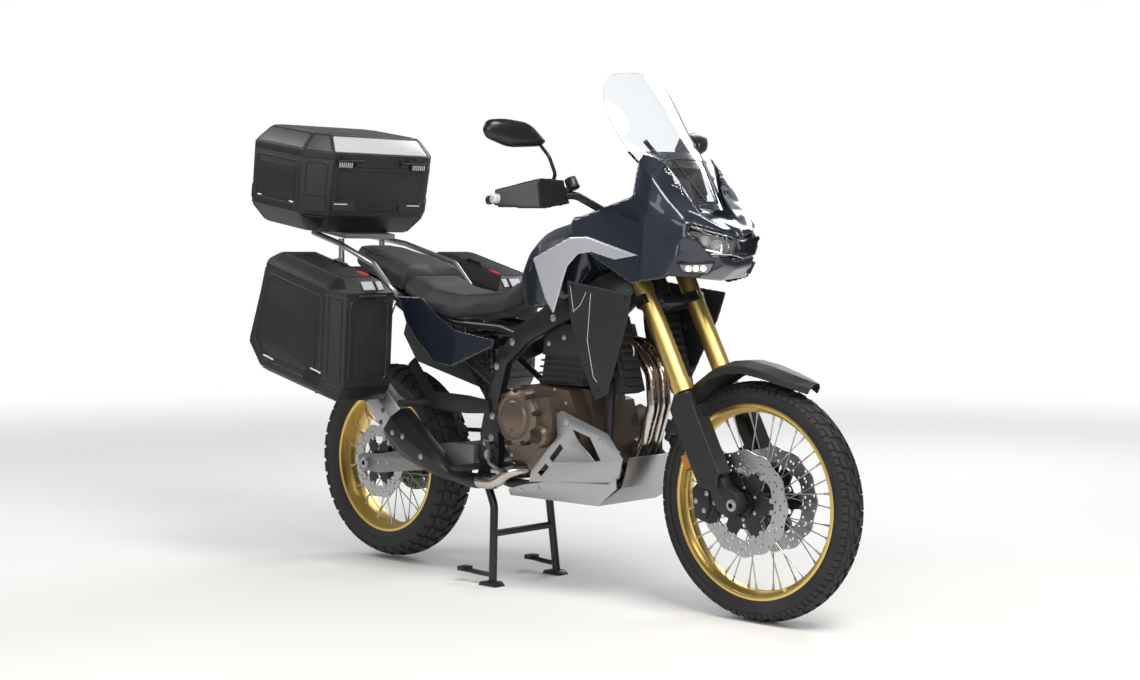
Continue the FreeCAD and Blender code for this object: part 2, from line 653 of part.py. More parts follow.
def spar_solid(s, grow):
    """Box spar from the head tube down to the pivot plate; grow thickens it all round."""
    # Stations: x, z of the middle, half height, y of the middle, half width
    spar = [(1112, 985, 44, 26, 12), (1040, 945, 42, 66, 12), (910, 878, 36, 130, 14),
            (770, 808, 32, 132, 15),
            (668, 726, 26, 124, 14), (612, 600, 26, SPAR_Y, 13), (592, 470, 40, SPAR_Y, 13)]
    sections = []
    for i, (x, z, h, y, w) in enumerate(spar):
        before, after = spar[max(i - 1, 0)], spar[min(i + 1, len(spar) - 1)]
        along = V(after[0] - before[0], 0, after[1] - before[1])
        along.normalize()
        n = V(-along.z, 0, along.x) * (h + grow)
        side = ACROSS * (w + grow)
        c = V(x, s * y, z)
        sections.append([c + n - side, c + n + side, c - n + side, c - n - side])
    return loft(sections)


def down_tube(s, r):
    """Front tube from the head down past the engine and back below it, with radius r."""
    return bent_tube([(1146, s * 22, 935), (1086, s * 84, 850), (1106, s * 100, 700),
                      (1098, s * CRADLE_Y, 420),
                      (1010, s * CRADLE_Y, CRADLE_Z), (680, s * CRADLE_Y, CRADLE_Z), (624, s * SPAR_Y,
                                                                                      348)], r, 90)


def main_frame():
    """Head tube, two box spars, down tubes and cradle, pivot plates and stand lugs."""
    low, top = (steer_point(0, 0, up) for up in (LOWER_CLAMP_W + CLAMP_H / 2 + 1,
                                                 UPPER_CLAMP_W - CLAMP_H / 2 - 1))
    shapes = [rod(low, top, HEAD_TUBE_R)]
    lug_out = STAND_TOP_Y - STAND_TUBE_R - 1.0
    for s in (-1, 1):
        shapes.append(spar_solid(s, 0))
        shapes.append(down_tube(s, FRAME_TUBE_R))
        plate = [(560, 500), (632, 520), (640, 430), (632, 350), (575, 336), (545, 400)]
        shapes.append(side_prism(plate, s * (SPAR_Y - 13), s * (SPAR_Y + 13)))
        lug = [(STAND_PIVOT_X - 20, STAND_PIVOT_Z - 18), (STAND_PIVOT_X + 20, STAND_PIVOT_Z - 18),
               (632, 350), (560, 350)]
        shapes.append(side_prism(lug, s * (SPAR_Y - 13), s * lug_out))
    shapes.append(rod((640, -CRADLE_Y, 345), (640, CRADLE_Y, 345), 13))
    pin_dir = V(0, cos(SIDE_STAND_TILT), sin(SIDE_STAND_TILT))
    pivot_at = V(SIDE_STAND_X, SIDE_STAND_Y, SIDE_STAND_Z)
    stay_low, stay_top = steer_point(20, 0, 1095), steer_point(20, 0, 1145)
    stay = [(stay_low.x, stay_low.z), (stay_top.x, stay_top.z), (NOSE_REAR_X - SEAT_GAP, 1100),
            (NOSE_REAR_X - SEAT_GAP, 1062)]
    shapes.append(side_prism(stay, -14, 14))
    boss = rod(pivot_at - pin_dir * 36, pivot_at - pin_dir * 1.0, 18)
    pin_solid = rod(pivot_at - pin_dir * 10, pivot_at + pin_dir * 30, STAND_PIN_R)
    frame = fuse(shapes + [boss, pin_solid])
    stem = rod(steer_point(0, 0, LOWER_CLAMP_W - 60), steer_point(0, 0, UPPER_CLAMP_W + 60),
               STEM_R + AXLE_PLAY)
    pivot = rod((PIVOT_X, -200, PIVOT_Z), (PIVOT_X, 200, PIVOT_Z), PIVOT_R + AXLE_PLAY)
    pin = rod((STAND_PIVOT_X, -200, STAND_PIVOT_Z), (STAND_PIVOT_X, 200, STAND_PIVOT_Z),
              STAND_PIN_R + AXLE_PLAY)
    save("main_frame", frame.cut([stem, pivot, pin]))


# Centre line of the rear frame's upper tube: x, y, z
RAIL_Y = 112.0
SEAT_RAIL = [(748, 128, 800), (640, RAIL_Y, 822), (430, RAIL_Y, 832), (300, RAIL_Y, 868), (60, 108, 948),
             (-200, 92, 1022)]
SEAT_RAIL_R = 12.0
LOW_RAIL_R = 11.0


def subframe():
    """Rear trellis that carries the seats, the tail and the racks."""
    shapes = []
    for s in (-1, 1):
        shapes.append(bent_tube([(x, s * y, z) for x, y, z in SEAT_RAIL], SEAT_RAIL_R, 120))
        low_rail = [(606, s * SPAR_Y, 640), (430, s * RAIL_Y, 745), (160, s * RAIL_Y, 880),
                    (40, s * 108, 950)]
        shapes.append(bent_tube(low_rail, LOW_RAIL_R, 120))
        shapes.append(rod((430, s * RAIL_Y, 748), (400, s * RAIL_Y, 838), 9))
        shapes.append(rod((SHOCK_TOP_X + 4, s * RAIL_Y, SHOCK_TOP_Z + 11.9), (SHOCK_TOP_X, s * RAIL_Y, 832),
                          9))
    shapes.append(rod((SHOCK_TOP_X + 4, -RAIL_Y, SHOCK_TOP_Z + 11.9),
                      (SHOCK_TOP_X + 4, RAIL_Y, SHOCK_TOP_Z + 11.9), 11))
    for x, z in ((600, 824), (300, 868), (-60, 981)):
        shapes.append(rod((x, -108, z), (x, 108, z), 10))
    save("subframe", fuse(shapes).cut(pieces["main_frame"]))


def exhaust_run(r):
    """Pipe from the collector under the engine out to the right side, with radius r."""
    return bent_tube([(940, -10, 351), (800, -36, 351), (756, -92, 374), (706, -150, 374),
                      (664, -LINK_Y, LINK_Z),
                      (LINK_X, -LINK_Y, LINK_Z)], r, 60)


def engine():
    """Crankcase with its side covers, and the cylinder block and head."""
    low = ENGINE_LOW_Z
    middle = side_prism([(648, low + 8), (700, low), (1000, low), (1046, low + 26), (1052, 480),
                         (1010, 560), (990, 640), (800, 652),
                         (690, 640), (650, 560)], -78, 78)
    right_case = side_prism([(700, 410), (770, 410), (790, low), (1000, low + 6), (1012, 440), (1000, 560),
                             (958, 640), (800, 650), (706, 600)],
                            -138, -70)
    left_case = side_prism([(740, low + 6), (1000, low), (1020, 470), (980, 600), (820, 640), (740, 600)],
                           70, 138)
    clutch = turned([(CLUTCH_R, 90), (CLUTCH_R, 12), (CLUTCH_R - 8, 0), (CLUTCH_R - 30, -4),
                     (CLUTCH_R - 34, -10), (0, -10), (0, 90)],
                    (CLUTCH_X, -CLUTCH_Y + 10, CLUTCH_Z))
    pump = turned([(32, 90), (32, 10), (24, 0), (0, 0), (0, 90)], (888, -206, 502))
    cover = side_prism([(862, 458), (890, 470), (926, 512), (934, 560), (920, 622), (860, 610), (850, 520)],
                       -186, -130)
    generator = turned([(72, -60), (72, -8), (60, 6), (0, 6), (0, -60)], (850, 186, 530))
    guard_in = CHAIN_Y + CHAIN_GAP / 2 + CHAIN_PLATE_T + 5
    sprocket_cover = side_prism([(646, low + 6), (740, low + 6), (746, 500), (700, 520), (646, 500)],
                                guard_in, guard_in + 30)
    bridge = side_prism([(728, low + 10), (760, low + 10), (760, 500), (728, 500)], 70, guard_in + 30)
    lugs = []
    for s in (-1, 1):
        lugs.append(side_prism([(1040, 415), (1102, 425), (1102, 455), (1040, 490)], s * 60, s * 104))
        lugs.append(side_prism([(618, 505), (665, 505), (665, 560), (618, 540)], s * 60,
                               s * (SPAR_Y - 13 - SEAT_GAP)))
    whole = fuse([middle, right_case, left_case, clutch, pump, cover, generator, sprocket_cover,
                  bridge] + lugs)
    tubes = [down_tube(s, FRAME_TUBE_R + SEAT_GAP) for s in (-1, 1)]
    chain_room = rod((OUTPUT_X, 78, OUTPUT_Z), (OUTPUT_X, guard_in, OUTPUT_Z), 56)
    whole = whole.cut([chain_room, exhaust_run(27), pieces["main_frame"]] + tubes)
    pitch_r = CHAIN_PITCH / (2 * sin(pi / FRONT_TEETH))
    boss = rod((OUTPUT_X, 70, OUTPUT_Z), (OUTPUT_X, CHAIN_Y + 9, OUTPUT_Z),
               pitch_r - CHAIN_HALF_H - SEAT_GAP)
    save("crankcase", whole.fuse(boss))
    top_case_z, block_top = 652.0 + SEAT_GAP, 745.0
    block = side_prism([(806, top_case_z), (982, top_case_z), (1004, block_top), (826, block_top)],
                       -HEAD_HALF_W + 8, HEAD_HALF_W - 8)
    fins = []
    for k in range(4):
        z, lean = 664 + 20 * k, 4.6 * k
        fins.append(side_prism([(800 + lean, z), (988 + lean, z), (989 + lean, z + 6), (801 + lean, z + 6)],
                               -HEAD_HALF_W, HEAD_HALF_W))
    head = side_prism([(822, 744), (1008, 744), (1020, 800), (1008, 838), (850, 846), (832, 806)],
                      -HEAD_HALF_W, HEAD_HALF_W)
    cam = side_prism([(872, 838), (1000, 832), (990, 856), (884, 860)], -HEAD_HALF_W + 22, HEAD_HALF_W - 22)
    ports = [rod((990, s * PORT_Y, PORT_Z), (HEADER_START, s * PORT_Y, PORT_Z), PIPE_R + 4) for s in (-1,
                                                                                                      1)]
    save("cylinder_head", fuse([block, head, cam] + fins + ports).cut(pieces["main_frame"]))


def radiators():
    """Two coolers leaning with the fork, each with a ribbed core between its tanks."""
    shapes = []
    outline = [(1118, 862), (1143, 870), (1206, 650), (1178, 640)]
    for s in (-1, 1):
        body = side_prism(outline, s * 66, s * RADIATOR_OUT_Y)
        ribs = []
        for k in range(8):
            z = 668 + 24 * k
            x = 1200 - (z - 668) * 0.286
            ribs.append(box((x - 8, x + 7), sorted((s * 80, s * 148)), (z, z + 10)))
        stub = rod((1105, s * 102, 665), (1180, s * 102, 665), 7)
        shapes.append(fuse([body, stub] + ribs).cut(down_tube(s, FRAME_TUBE_R + SEAT_GAP)))
    save("radiators", Part.makeCompound(shapes))


def exhaust():
    """Header pipes from the head, the collector under the engine, and its run to the right."""
    shapes = []
    for s in (-1, 1):
        shapes.append(bent_tube([(HEADER_START + SEAT_GAP, s * PORT_Y, PORT_Z), (1064, s * PORT_Y, PORT_Z),
                                 (1130, s * 30, 780), (1196, s * 26, 700), (1204, s * 26, 600),
                                 (1172, s * 26, 500), (1090, s * 26, 366), (1030, s * 24,
                                                                            350)], PIPE_R, 70))
    collector = loft([[(1040, y, z) for y, z in ((-46, 334), (-46, 366), (-20, 374), (20, 374), (46, 366),
                                                 (46, 334), (20, 328), (-20, 328))],
                      [(930, y * 0.8 - 6, z) for y, z in ((-46, 334), (-46, 366), (-20, 374), (20, 374),
                                                          (46, 366), (46, 334), (20, 328), (-20, 328))]])
    save("exhaust_headers", fuse(shapes + [collector, exhaust_run(22)]))


# Silencer stations up from its inlet: x, y, z, half width, half height
SILENCER_BODY = [(470, -172, 346, 25, 25), (400, -182, 384, 42, 42), (305, -186, 437, 48, 60),
                 (222, -186, 500, 48, 62)]
SILENCER_END = [(222, -186, 500, 46.5, 58), (120, -186, 592, 43, 54), (92, -186, 616, 36, 44)]


def silencer():
    """Muffler rising at the right of the rear wheel, its inlet pipe and its bright end piece."""

    def can(rows):
        sections = []
        for x, y, z, w, h in rows:
            up = V(0.63, 0, 0.77)
            c = V(x, y, z)
            corners = ((-1, 0.45), (-0.45, 1), (0.45, 1), (1, 0.45), (1, -0.45), (0.45, -1), (-0.45, -1),
                       (-1, -0.45))
            sections.append([c + ACROSS * (a * w) + up * (b * h) for a, b in corners])
        return loft(sections)

    link = bent_tube([(LINK_X - SEAT_GAP, -LINK_Y, LINK_Z), (548, -LINK_Y, LINK_Z), (462, -174, 351),
                      (420, -178, 374)], 24, 80)
    x, y, z = SILENCER_END[-1][:3]
    mouth = rod((x + 60, y, z - 44), (x - 40, y, z + 34), 17)
    save("silencer", fuse([link, can(SILENCER_BODY)]))
    save("silencer_end", can(SILENCER_END).cut(mouth))


SKID_HALF_W = 134.0
SKID_T = 4.0
SKID_REAR_X = 700.0


def skid_plate():
    """Folded alloy tray under the engine: floor, front lip and raised side wings with slots."""
    line = [(SKID_REAR_X, 296), (1075, 296), (1176, 360), (1206, 452)]
    inner = [(x - 5, z + 1) for x, z in line[:1:-1]] + [(1073, 296 + SKID_T), (SKID_REAR_X, 296 + SKID_T)]
    shapes = [side_prism(line + inner, -SKID_HALF_W, SKID_HALF_W)]
    mid_y, top_y = SKID_HALF_W + 26, SKID_HALF_W + 46
    for s in (-1, 1):
        low = plane_through((SKID_REAR_X, s * SKID_HALF_W, 296), (1075, s * SKID_HALF_W, 296),
                            (900, s * mid_y, 356))
        low_wing = [(SKID_REAR_X, 296), (1075, 296), (1176, 360), (1186, 392), (1150, 372), (880, 356),
                    (770, 336), (SKID_REAR_X, 316)]
        high = plane_through((900, s * mid_y, 356), (1150, s * mid_y, 372), (945, s * top_y, 575))
        high_wing = [(810, 350), (880, 356), (1150, 372), (1186, 392), (1206, 452), (1150, 524), (972, 582),
                     (948, 572),
                     (944, 500), (822, 386)]
        for outline, plane in ((low_wing, low), (high_wing, high)):
            plate = face([(x, plane(x, z), z) for x, z in outline]).extrude(ACROSS * (-s * SKID_T))
            shapes.append(plate)
        for x in (760, 980):
            shapes.append(box((x - 14, x + 14), sorted((s * (CRADLE_Y - 12), s * (CRADLE_Y + 12))),
                              (298, CRADLE_Z - FRAME_TUBE_R - SEAT_GAP)))
    tray = fuse(shapes)
    cuts = []
    for slot in ([(904, 432), (954, 480), (966, 466), (918, 420)], [(850, 382), (888, 414), (900, 402),
                                                                    (864, 372)],
                 [(1010, 528), (1080, 508), (1118, 440), (1092, 436), (1034, 486)]):
        cuts += [side_prism(slot, s * 100, s * 240) for s in (-1, 1)]
    save("skid_plate", tray.cut(cuts))


def fuel_tank():
    """Tank between the seat and the steering head, with room below it for the spars."""
    # Stations: x, top z, shoulder half width and z, widest half width and z, foot half width and z
    rows = [(706, 1030, 52, 1022, 92, 960, 84, 905), (760, 1112, 62, 1098, 130, 1012, 118, 890),
            (840, 1152, 74, 1134, 152, 1048, 132, 890),
            (940, 1163, 84, 1147, TANK_HALF_W, 1072, 136, 915), (1032, 1160, 84, 1144, 148, 1076, 118,
                                                                 1006)]
    sections = []
    for x, top, ws, zs, wm, zm, wb, zb in eased(rows):
        half = [(ws, zs), (ws + (wm - ws) * 0.64, zs + (zm - zs) * 0.46), (wm, zm), (wb, zb)]
        sections.append([(x, -y, z) for y, z in half[::-1]] + [(x, 0, top)] + [(x, y, z) for y, z in half])
    cap = rod((905, 0, 1150), (905, 0, 1173), 42)
    tunnel = side_prism([(690, 870), (690, 905), (900, 930), (1060, 1040), (1060, 860)], -60, 60)
    spars = [spar_solid(s, SEAT_GAP) for s in (-1, 1)]
    steering_room = rod(steer_point(0, 0, 1000), steer_point(0, 0, 1450), SWEEP_R)
    save("fuel_tank", fuse([loft(sections), cap]).cut([tunnel, steering_room] + spars))


PANEL_T = 7.0
TANK_HALF_W = 158.0
RADIATOR_OUT_Y = 162.0
SWEEP_R = 146.0
WING_CREASE_X = 1322.0
CHEEK_LOW_Z = 1110.0
NOSE_REAR_X = 1340.0
# Outer planes of the fairing's side wings behind and ahead of their crease, through three points
WING_PLANE = plane_through((1010, 178, 1140), (WING_CREASE_X, 214.6, 1140), (WING_CREASE_X, 198.6, 1340))
NOSE_PLANE = plane_through((1440, 160, 1140), (WING_CREASE_X, 214.6, 1140), (WING_CREASE_X, 198.6, 1340))


def bossed(outline, plane, seat_y, places):
    """Sloped panel with round bosses that reach in to a seat at seat_y, at (x, z) places."""
    posts = [rod((x, seat_y + SEAT_GAP, z), (x, plane(x, z) - PANEL_T / 2, z), 8) for x, z in places]
    return fuse([sloped_plate(outline, plane, PANEL_T)] + posts)


def body_panels():
    """Side panels of the tank, lower shrouds, and side covers below the seat."""
    step = PANEL_T + SEAT_GAP
    silver = [(838, 1043), (950, 1085), (1012, 1108), (1088, 1109), (1318, 1053), (1215, 1040),
              (1110, 1062), (1050, 1056),
              (1002, 1018), (985, 972), (950, 876), (908, 920), (862, 1000)]
    save("tank_panels", both(bossed(silver, lambda x, z: WING_PLANE(x, z) + step, TANK_HALF_W,
                                    [(940, 1068)])))
    lower = plane_through((1000, 196, 980), (1300, 226, 980), (1120, 182, 640))
    shroud = [(1005, 978), (1285, 940), (1262, 860), (1160, 640), (1105, 620), (1040, 745), (1012, 850)]
    save("side_shrouds", both(bossed(shroud, lower, RADIATOR_OUT_Y, [(1140, 830), (1177, 700)])))
    cover_plane = plane_through((210, 178, 910), (650, 158, 782), (460, 172, 693))
    cover = [(212, 918), (320, 915), (400, 858), (480, 812), (652, 786), (640, 760), (467, 693), (388, 704),
             (300, 780), (255, 830)]
    save("side_covers", both(bossed(cover, cover_plane, RAIL_Y + LOW_RAIL_R, [(400, 760), (300, 810)])))


# Lamp unit half sections: x, then (y, z) points from the top middle to the bottom middle
LAMP_ROWS = [(1440, [(0, 1100), (150, 1142), (158, 1118), (112, 1054), (0, 1040)]),
             (1524, [(0, 1092), (72, 1110), (78, 1096), (54, 1054), (0, 1044)])]


def lamp_solid(grow):
    """Lamp block; grow enlarges it for the opening in the nose."""
    sections = []
    for x, half in LAMP_ROWS:
        ring = [(y, z) for y, z in half] + [(-y, z) for y, z in half[-2:0:-1]]
        if grow:
            ring = [(y * (1 + grow / 90), 1085 + (z - 1085) * (1 + grow / 45)) for y, z in ring]
        sections.append([(x - grow + (60 if x > 1480 and grow else 0), y, z) for y, z in ring])
    return loft(sections)


def front_cowl():
    """Nose of the fairing and its two side wings."""
    wings = []
    crease = WING_CREASE_X + 2
    rear = [(crease, 1170), (crease, 974), (1290, 968), (1215, 1000), (1010, 1092), (1005, 1160),
            (1150, 1196), (1288, 1230)]
    ahead = [(crease - 4, 1170), (1402, 1160), (1434, 1130), (1424, 1050), (1390, 985), (crease - 4, 974)]
    # Cheek stations: x, shoulder y and z, inner edge y and z
    stations = [(1440, 150, 1150, 72, 1160), (1380, 168, 1214, 78, 1228), (1330, 183, 1276, 112, 1322),
                (1272, 176, 1328, 150, 1352)]
    for s in (-1, 1):
        for outline, plane in ((rear, WING_PLANE), (ahead, NOSE_PLANE)):
            plate = face([(x, s * plane(x, z), z) for x, z in outline])
            wings.append(plate.extrude(ACROSS * (-s * PANEL_T)))
        sections = []
        for x, shoulder_y, shoulder_z, inner_y, inner_z in eased(stations):
            plane = NOSE_PLANE if x > WING_CREASE_X else WING_PLANE
            middle_z = CHEEK_LOW_Z + 0.6 * (shoulder_z - CHEEK_LOW_Z)
            outer = [(plane(x, CHEEK_LOW_Z), CHEEK_LOW_Z), (plane(x, middle_z) - 2, middle_z),
                     (shoulder_y, shoulder_z),
                     (inner_y, inner_z)]
            back = [(inner_y + 1, inner_z - PANEL_T), (shoulder_y - PANEL_T, shoulder_z - PANEL_T),
                    (plane(x, middle_z) - 2 - PANEL_T, middle_z), (plane(x, CHEEK_LOW_Z) - PANEL_T,
                                                                   CHEEK_LOW_Z)]
            sections.append([(x, s * y, z) for y, z in outer + back])
        wings.append(loft(sections))
    # Nose half sections: x, then (y, z) points from the top middle to the bottom middle
    rows = [(NOSE_REAR_X, [(0, 1196), (84, 1190), (160, 1206), (200, 1190), (212, 1050), (150, 994),
                           (0, 990)]),
            (1440, [(0, 1160), (60, 1156), (112, 1172), (158, 1146), (166, 1104), (120, 988), (0, 978)]),
            (1502, [(0, 1128), (34, 1126), (62, 1126), (92, 1112), (96, 1092), (66, 1024), (0, 1014)])]
    sections = []
    for x, half in rows:
        sections.append([(x, y, z) for y, z in half] + [(x, -y, z) for y, z in half[-2:0:-1]])
    beak = side_prism([(1440, 1158), (1500, 1134), (1520, 1104), (1500, 1096), (1440, 1104)], -14, 14)
    steering_room = rod(steer_point(0, 0, 900), steer_point(0, 0, 1500), SWEEP_R)
    cowl = fuse([loft(sections), beak] + wings)
    save("front_cowl", cowl.cut([steering_room, lamp_solid(2.0)]))
    save("headlamp", lamp_solid(0).cut(beak))


def windscreen():
    """Clear screen: a curved sheet swept back at its edges and rounded at its top."""
    # Rows up the screen: x and z of the middle, half width, how far the edges sweep back
    rows = [(1428, 1180, 60, 18), (1396, 1232, 104, 44), (1334, 1330, 158, 80), (1262, 1420, 170, 82),
            (1190, 1520, 160, 64), (1140, 1580, 118, 34),
            (1126, 1600, 60, 10)]
    thick = 5.0
    sections = []
    for x, z, w, sweep in eased(rows):
        front = [V(x - sweep * abs(t) ** 1.7, t * w, z) for t in (-1, -0.67, -0.33, 0, 0.33, 0.67, 1)]
        sections.append(front + [p - V(thick, 0, 0) for p in front[::-1]])
    save("windscreen", loft(sections))


def dash():
    """Instrument panel with its hood, on a carrier from the back of the nose."""
    panel = face([(1292, -86, 1222), (1292, 86, 1222), (1254, 86, 1318), (1254, -86, 1318)]).extrude(V(30,
                                                                                                       0,
                                                                                                       12))
    carrier = side_prism([(1306, 1226), (NOSE_REAR_X - SEAT_GAP, 1150), (NOSE_REAR_X - SEAT_GAP, 1190),
                          (1300, 1290)], -22, 22)
    posts = [rod((1290, s * 60, 1300), (1250, s * 120, 1388), 7) for s in (-1, 1)]
    save("dash", fuse([panel, carrier] + posts).cut(pieces["windscreen"]))


def cushion(rows, edge, top_share):
    """Plain cushion through stations of x, half width, top z and bottom z."""
    sections = []
    for x, w, top, low in rows:
        half = [(w, low), (w, top - edge), (w * top_share, top)]
        sections.append([(x, -y, z) for y, z in half] + [(x, y, z) for y, z in half[::-1]])
    return loft(sections)


def seats():
    """Rider and passenger cushions, hollowed below for the rear frame's tubes."""
    steepest = max(atan2(q[2] - p[2], p[0] - q[0]) for p, q in zip(SEAT_RAIL[1:], SEAT_RAIL[2:]))
    over = (SEAT_RAIL_R + SEAT_GAP) / cos(steepest)
    line = [(x, z + over) for x, y, z in SEAT_RAIL]
    inside = SEAT_RAIL[2][1] + SEAT_RAIL_R + 3
    room = side_prism(line + [(-200, 700), (748, 700)], -inside, inside)
    split = SEAT_GAP / 2
    rider = [(676, 52, 1000, 900), (600, 92, 938, 862), (440, 140, 922, 838), (300, 152, 945, 880),
             (198 + split, 146, 996, 932)]
    rear = [(198 - split, 146, 1012, 932), (100, 140, 1044, 950), (-40, 118, 1078, 992),
            (-110, 92, 1090, 1020)]
    save("rider_seat", cushion(rider, 36, 0.72).cut([room, pieces["fuel_tank"]]))
    save("passenger_seat", cushion(rear, 26, 0.78).cut(room))


def tail_section():
    """Tail below the seat with the plate holder, and the lamps on it."""
    tail = loft([[(160, y, z) for y, z in ((-92, 862), (92, 862), (92, 892.4), (-92, 892.4))],
                 [(-180, y, z) for y, z in ((-72, 970), (72, 970), (72, 1012.4), (-72, 1012.4))]])
    hanger = side_prism([(-130, 962), (-178, 972), (-290, 800), (-330, 640), (-316, 636), (-256, 800)], -52,
                        52)
    plate = side_prism([(-334, 700), (-327, 702), (-322, 560), (-329, 560)], -95, 95)
    arms = [rod((-244, s * 40, 850), (-244, s * 142, 850), 7) for s in (-1, 1)]
    save("tail_section", fuse([tail, hanger, plate] + arms).cut(pieces["subframe"]))
    lamp = side_prism([(-180 - SEAT_GAP, 1012), (-180 - SEAT_GAP, 974), (-210, 976), (-220, 1002)], -48, 48)
    blinkers = []
    for s in (-1, 1):
        stub = rod((-244, s * (142 + SEAT_GAP), 850), (-244, s * 166, 850), 6)
        blinkers.append(stub.fuse(rod((-262, s * 166, 850), (-226, s * 166, 850), 18)))
    save("tail_lamps", Part.makeCompound([lamp] + blinkers))


def placed(shape, tilt, x, z):
    """From a case's own frame, origin at its front edge, to its place on the machine."""
    moved = shape.copy()
    moved.rotate(V(0, 0, 0), ACROSS, degrees(tilt))
    moved.translate(V(x, 0, z))
    return moved


def eight_sided(x0, x1, half, cut_x, cut_y):
    return [(x0 + cut_x, -half), (x1 - cut_x, -half), (x1, -half + cut_y), (x1, half - cut_y),
            (x1 - cut_x, half), (x0 + cut_x, half), (x0, half - cut_y), (x0, -half + cut_y)]


def raised(outline, z):
    return [(x, y, z) for x, y in outline]


def hinge(y, seam):
    """Knuckles, leaves and pin of one lid hinge at the front of a seam: (case side, lid side)."""
    x, z = HINGE_OUT, seam + LID_GAP / 2
    k, h, play = HINGE_KNUCKLE_HALF, HINGE_HALF, AXLE_PLAY
    case_side, lid_side = [rod((x, y - h, z), (x, y + h, z), HINGE_PIN_R)], []
    for a, b in ((y - h, y - k - 0.5), (y + k + 0.5, y + h)):
        case_side.append(rod((x, a, z), (x, b, z), HINGE_R))
        case_side.append(box((-1, x), (a, b), (seam - 16, z - 1)))
    lid_side.append(rod((x, y - k, z), (x, y + k, z), HINGE_R))
    lid_side.append(box((-1, x), (y - k, y + k), (z + 1, seam + 15)))
    bore = rod((x, y - h, z), (x, y + h, z), HINGE_PIN_R + play)
    return fuse(case_side), fuse(lid_side).cut(bore)


def top_case():
    """Hollow case body and lid with bevelled edges, hinged at the front edge of the seam."""
    full = eight_sided(-TOP_CASE_L, 0, TOP_CASE_HALF_W, TOP_CASE_CHAMFER_X, TOP_CASE_CHAMFER_Y)
    foot, low = inset(full, 62), inset(full, TOP_CASE_LOW_IN)
    wall, seam, lip = CASE_WALL, TOP_CASE_SEAM, 24.0
    roof = inset(full, 52)
    shell = loft([raised(foot, -TOP_CASE_DROP), raised(low, 0), raised(full, seam)])
    room = loft([raised(inset(foot, wall), -TOP_CASE_DROP + wall), raised(inset(low, wall), 2),
                 raised(inset(full, wall), seam + 1)])
    cover = loft([raised(full, seam + LID_GAP), raised(full, seam + lip)]).fuse(
        loft([raised(full, seam + lip), raised(roof, TOP_CASE_H)]))
    cover_room = loft([raised(inset(full, wall), seam), raised(inset(full, wall), seam + lip)]).fuse(
        loft([raised(inset(full, wall), seam + lip), raised(inset(roof, wall), TOP_CASE_H - wall)]))
    hinges = [hinge(s * TOP_HINGE_Y, seam) for s in (-1, 1)]
    body = fuse([shell] + [h[0] for h in hinges]).cut(room)
    lid = fuse([cover] + [h[1] for h in hinges]).cut(cover_room)
    save("top_case_body", placed(body, TOP_CASE_TILT, TOP_CASE_X, TOP_CASE_Z))
    save("top_case_lid", placed(lid, TOP_CASE_TILT, TOP_CASE_X, TOP_CASE_Z))


TOP_HINGE_Y = 140.0
# Side case outlines in side view: inner part and outer face; the first two points lie on the seam
SIDE_CASE_FULL = [(-140.0, 1031.0), (262.0, 920.0), (243.0, 628.0), (212.0, 580.0), (-160.0, 668.0),
                  (-232.0, 765.0)]
SIDE_CASE_OUTER = [(-94.0, 1018.3), (215.0, 933.0), (197.0, 655.0), (172.0, 618.0), (-130.0, 690.0),
                   (-190.0, 775.0)]
SIDE_HINGE_Y = 335.0


def side_case(name, s):
    """Hollow side case and its lid; the seam slopes down to the front, where the hinge is."""
    wall, y_in, y_out = CASE_WALL, SIDE_CASE_IN_Y, SIDE_CASE_OUT_Y
    y_mid = y_out - SIDE_CASE_BEVEL

    def at(outline, y):
        return [(x, s * y, z) for x, z in outline]

    shell = loft([at(SIDE_CASE_FULL, y_in), at(SIDE_CASE_FULL, y_mid)]).fuse(
        loft([at(SIDE_CASE_FULL, y_mid), at(SIDE_CASE_OUTER, y_out)]))
    in_full, in_outer = inset(SIDE_CASE_FULL, wall), inset(SIDE_CASE_OUTER, wall)
    room = loft([at(in_full, y_in + wall), at(in_full, y_mid)]).fuse(
        loft([at(in_full, y_mid), at(in_outer, y_out - wall)]))
    (rear_x, rear_z), (front_x, front_z) = SIDE_CASE_FULL[:2]
    length = hypot(front_x - rear_x, front_z - rear_z)
    slope = atan2(rear_z - front_z, front_x - rear_x)

    def ring(inset_by, h):
        outline = [(-length, y_in), (0, y_in), (0, y_mid), (-SIDE_CASE_BEVEL, y_out),
                   (SIDE_CASE_BEVEL - length, y_out), (-length, y_mid)]
        if inset_by:
            outline = inset(outline, inset_by)
        return [(x, s * y, h) for x, y in outline]

    lip, roof_in, height = 10.0, 44.0, SIDE_CASE_LID_H
    mouth = loft([ring(wall, -40), ring(wall, 2)])
    cover = loft([ring(0, LID_GAP), ring(0, lip)]).fuse(loft([ring(0, lip), ring(roof_in, height)]))
    cover_room = loft([ring(wall, 0), ring(wall, lip)]).fuse(loft([ring(wall, lip),
                                                                   ring(roof_in + wall, height - wall)]))
    case_side, lid_side = hinge(s * SIDE_HINGE_Y, 0)
    rail = [(case_side, slope), (mouth, slope)]
    case_side, mouth = [placed(shape, tilt, front_x, front_z) for shape, tilt in rail]
    save(name + "_body", fuse([shell, case_side]).cut([room, mouth]))
    save(name + "_lid", placed(fuse([cover, lid_side]).cut(cover_room), slope, front_x, front_z))


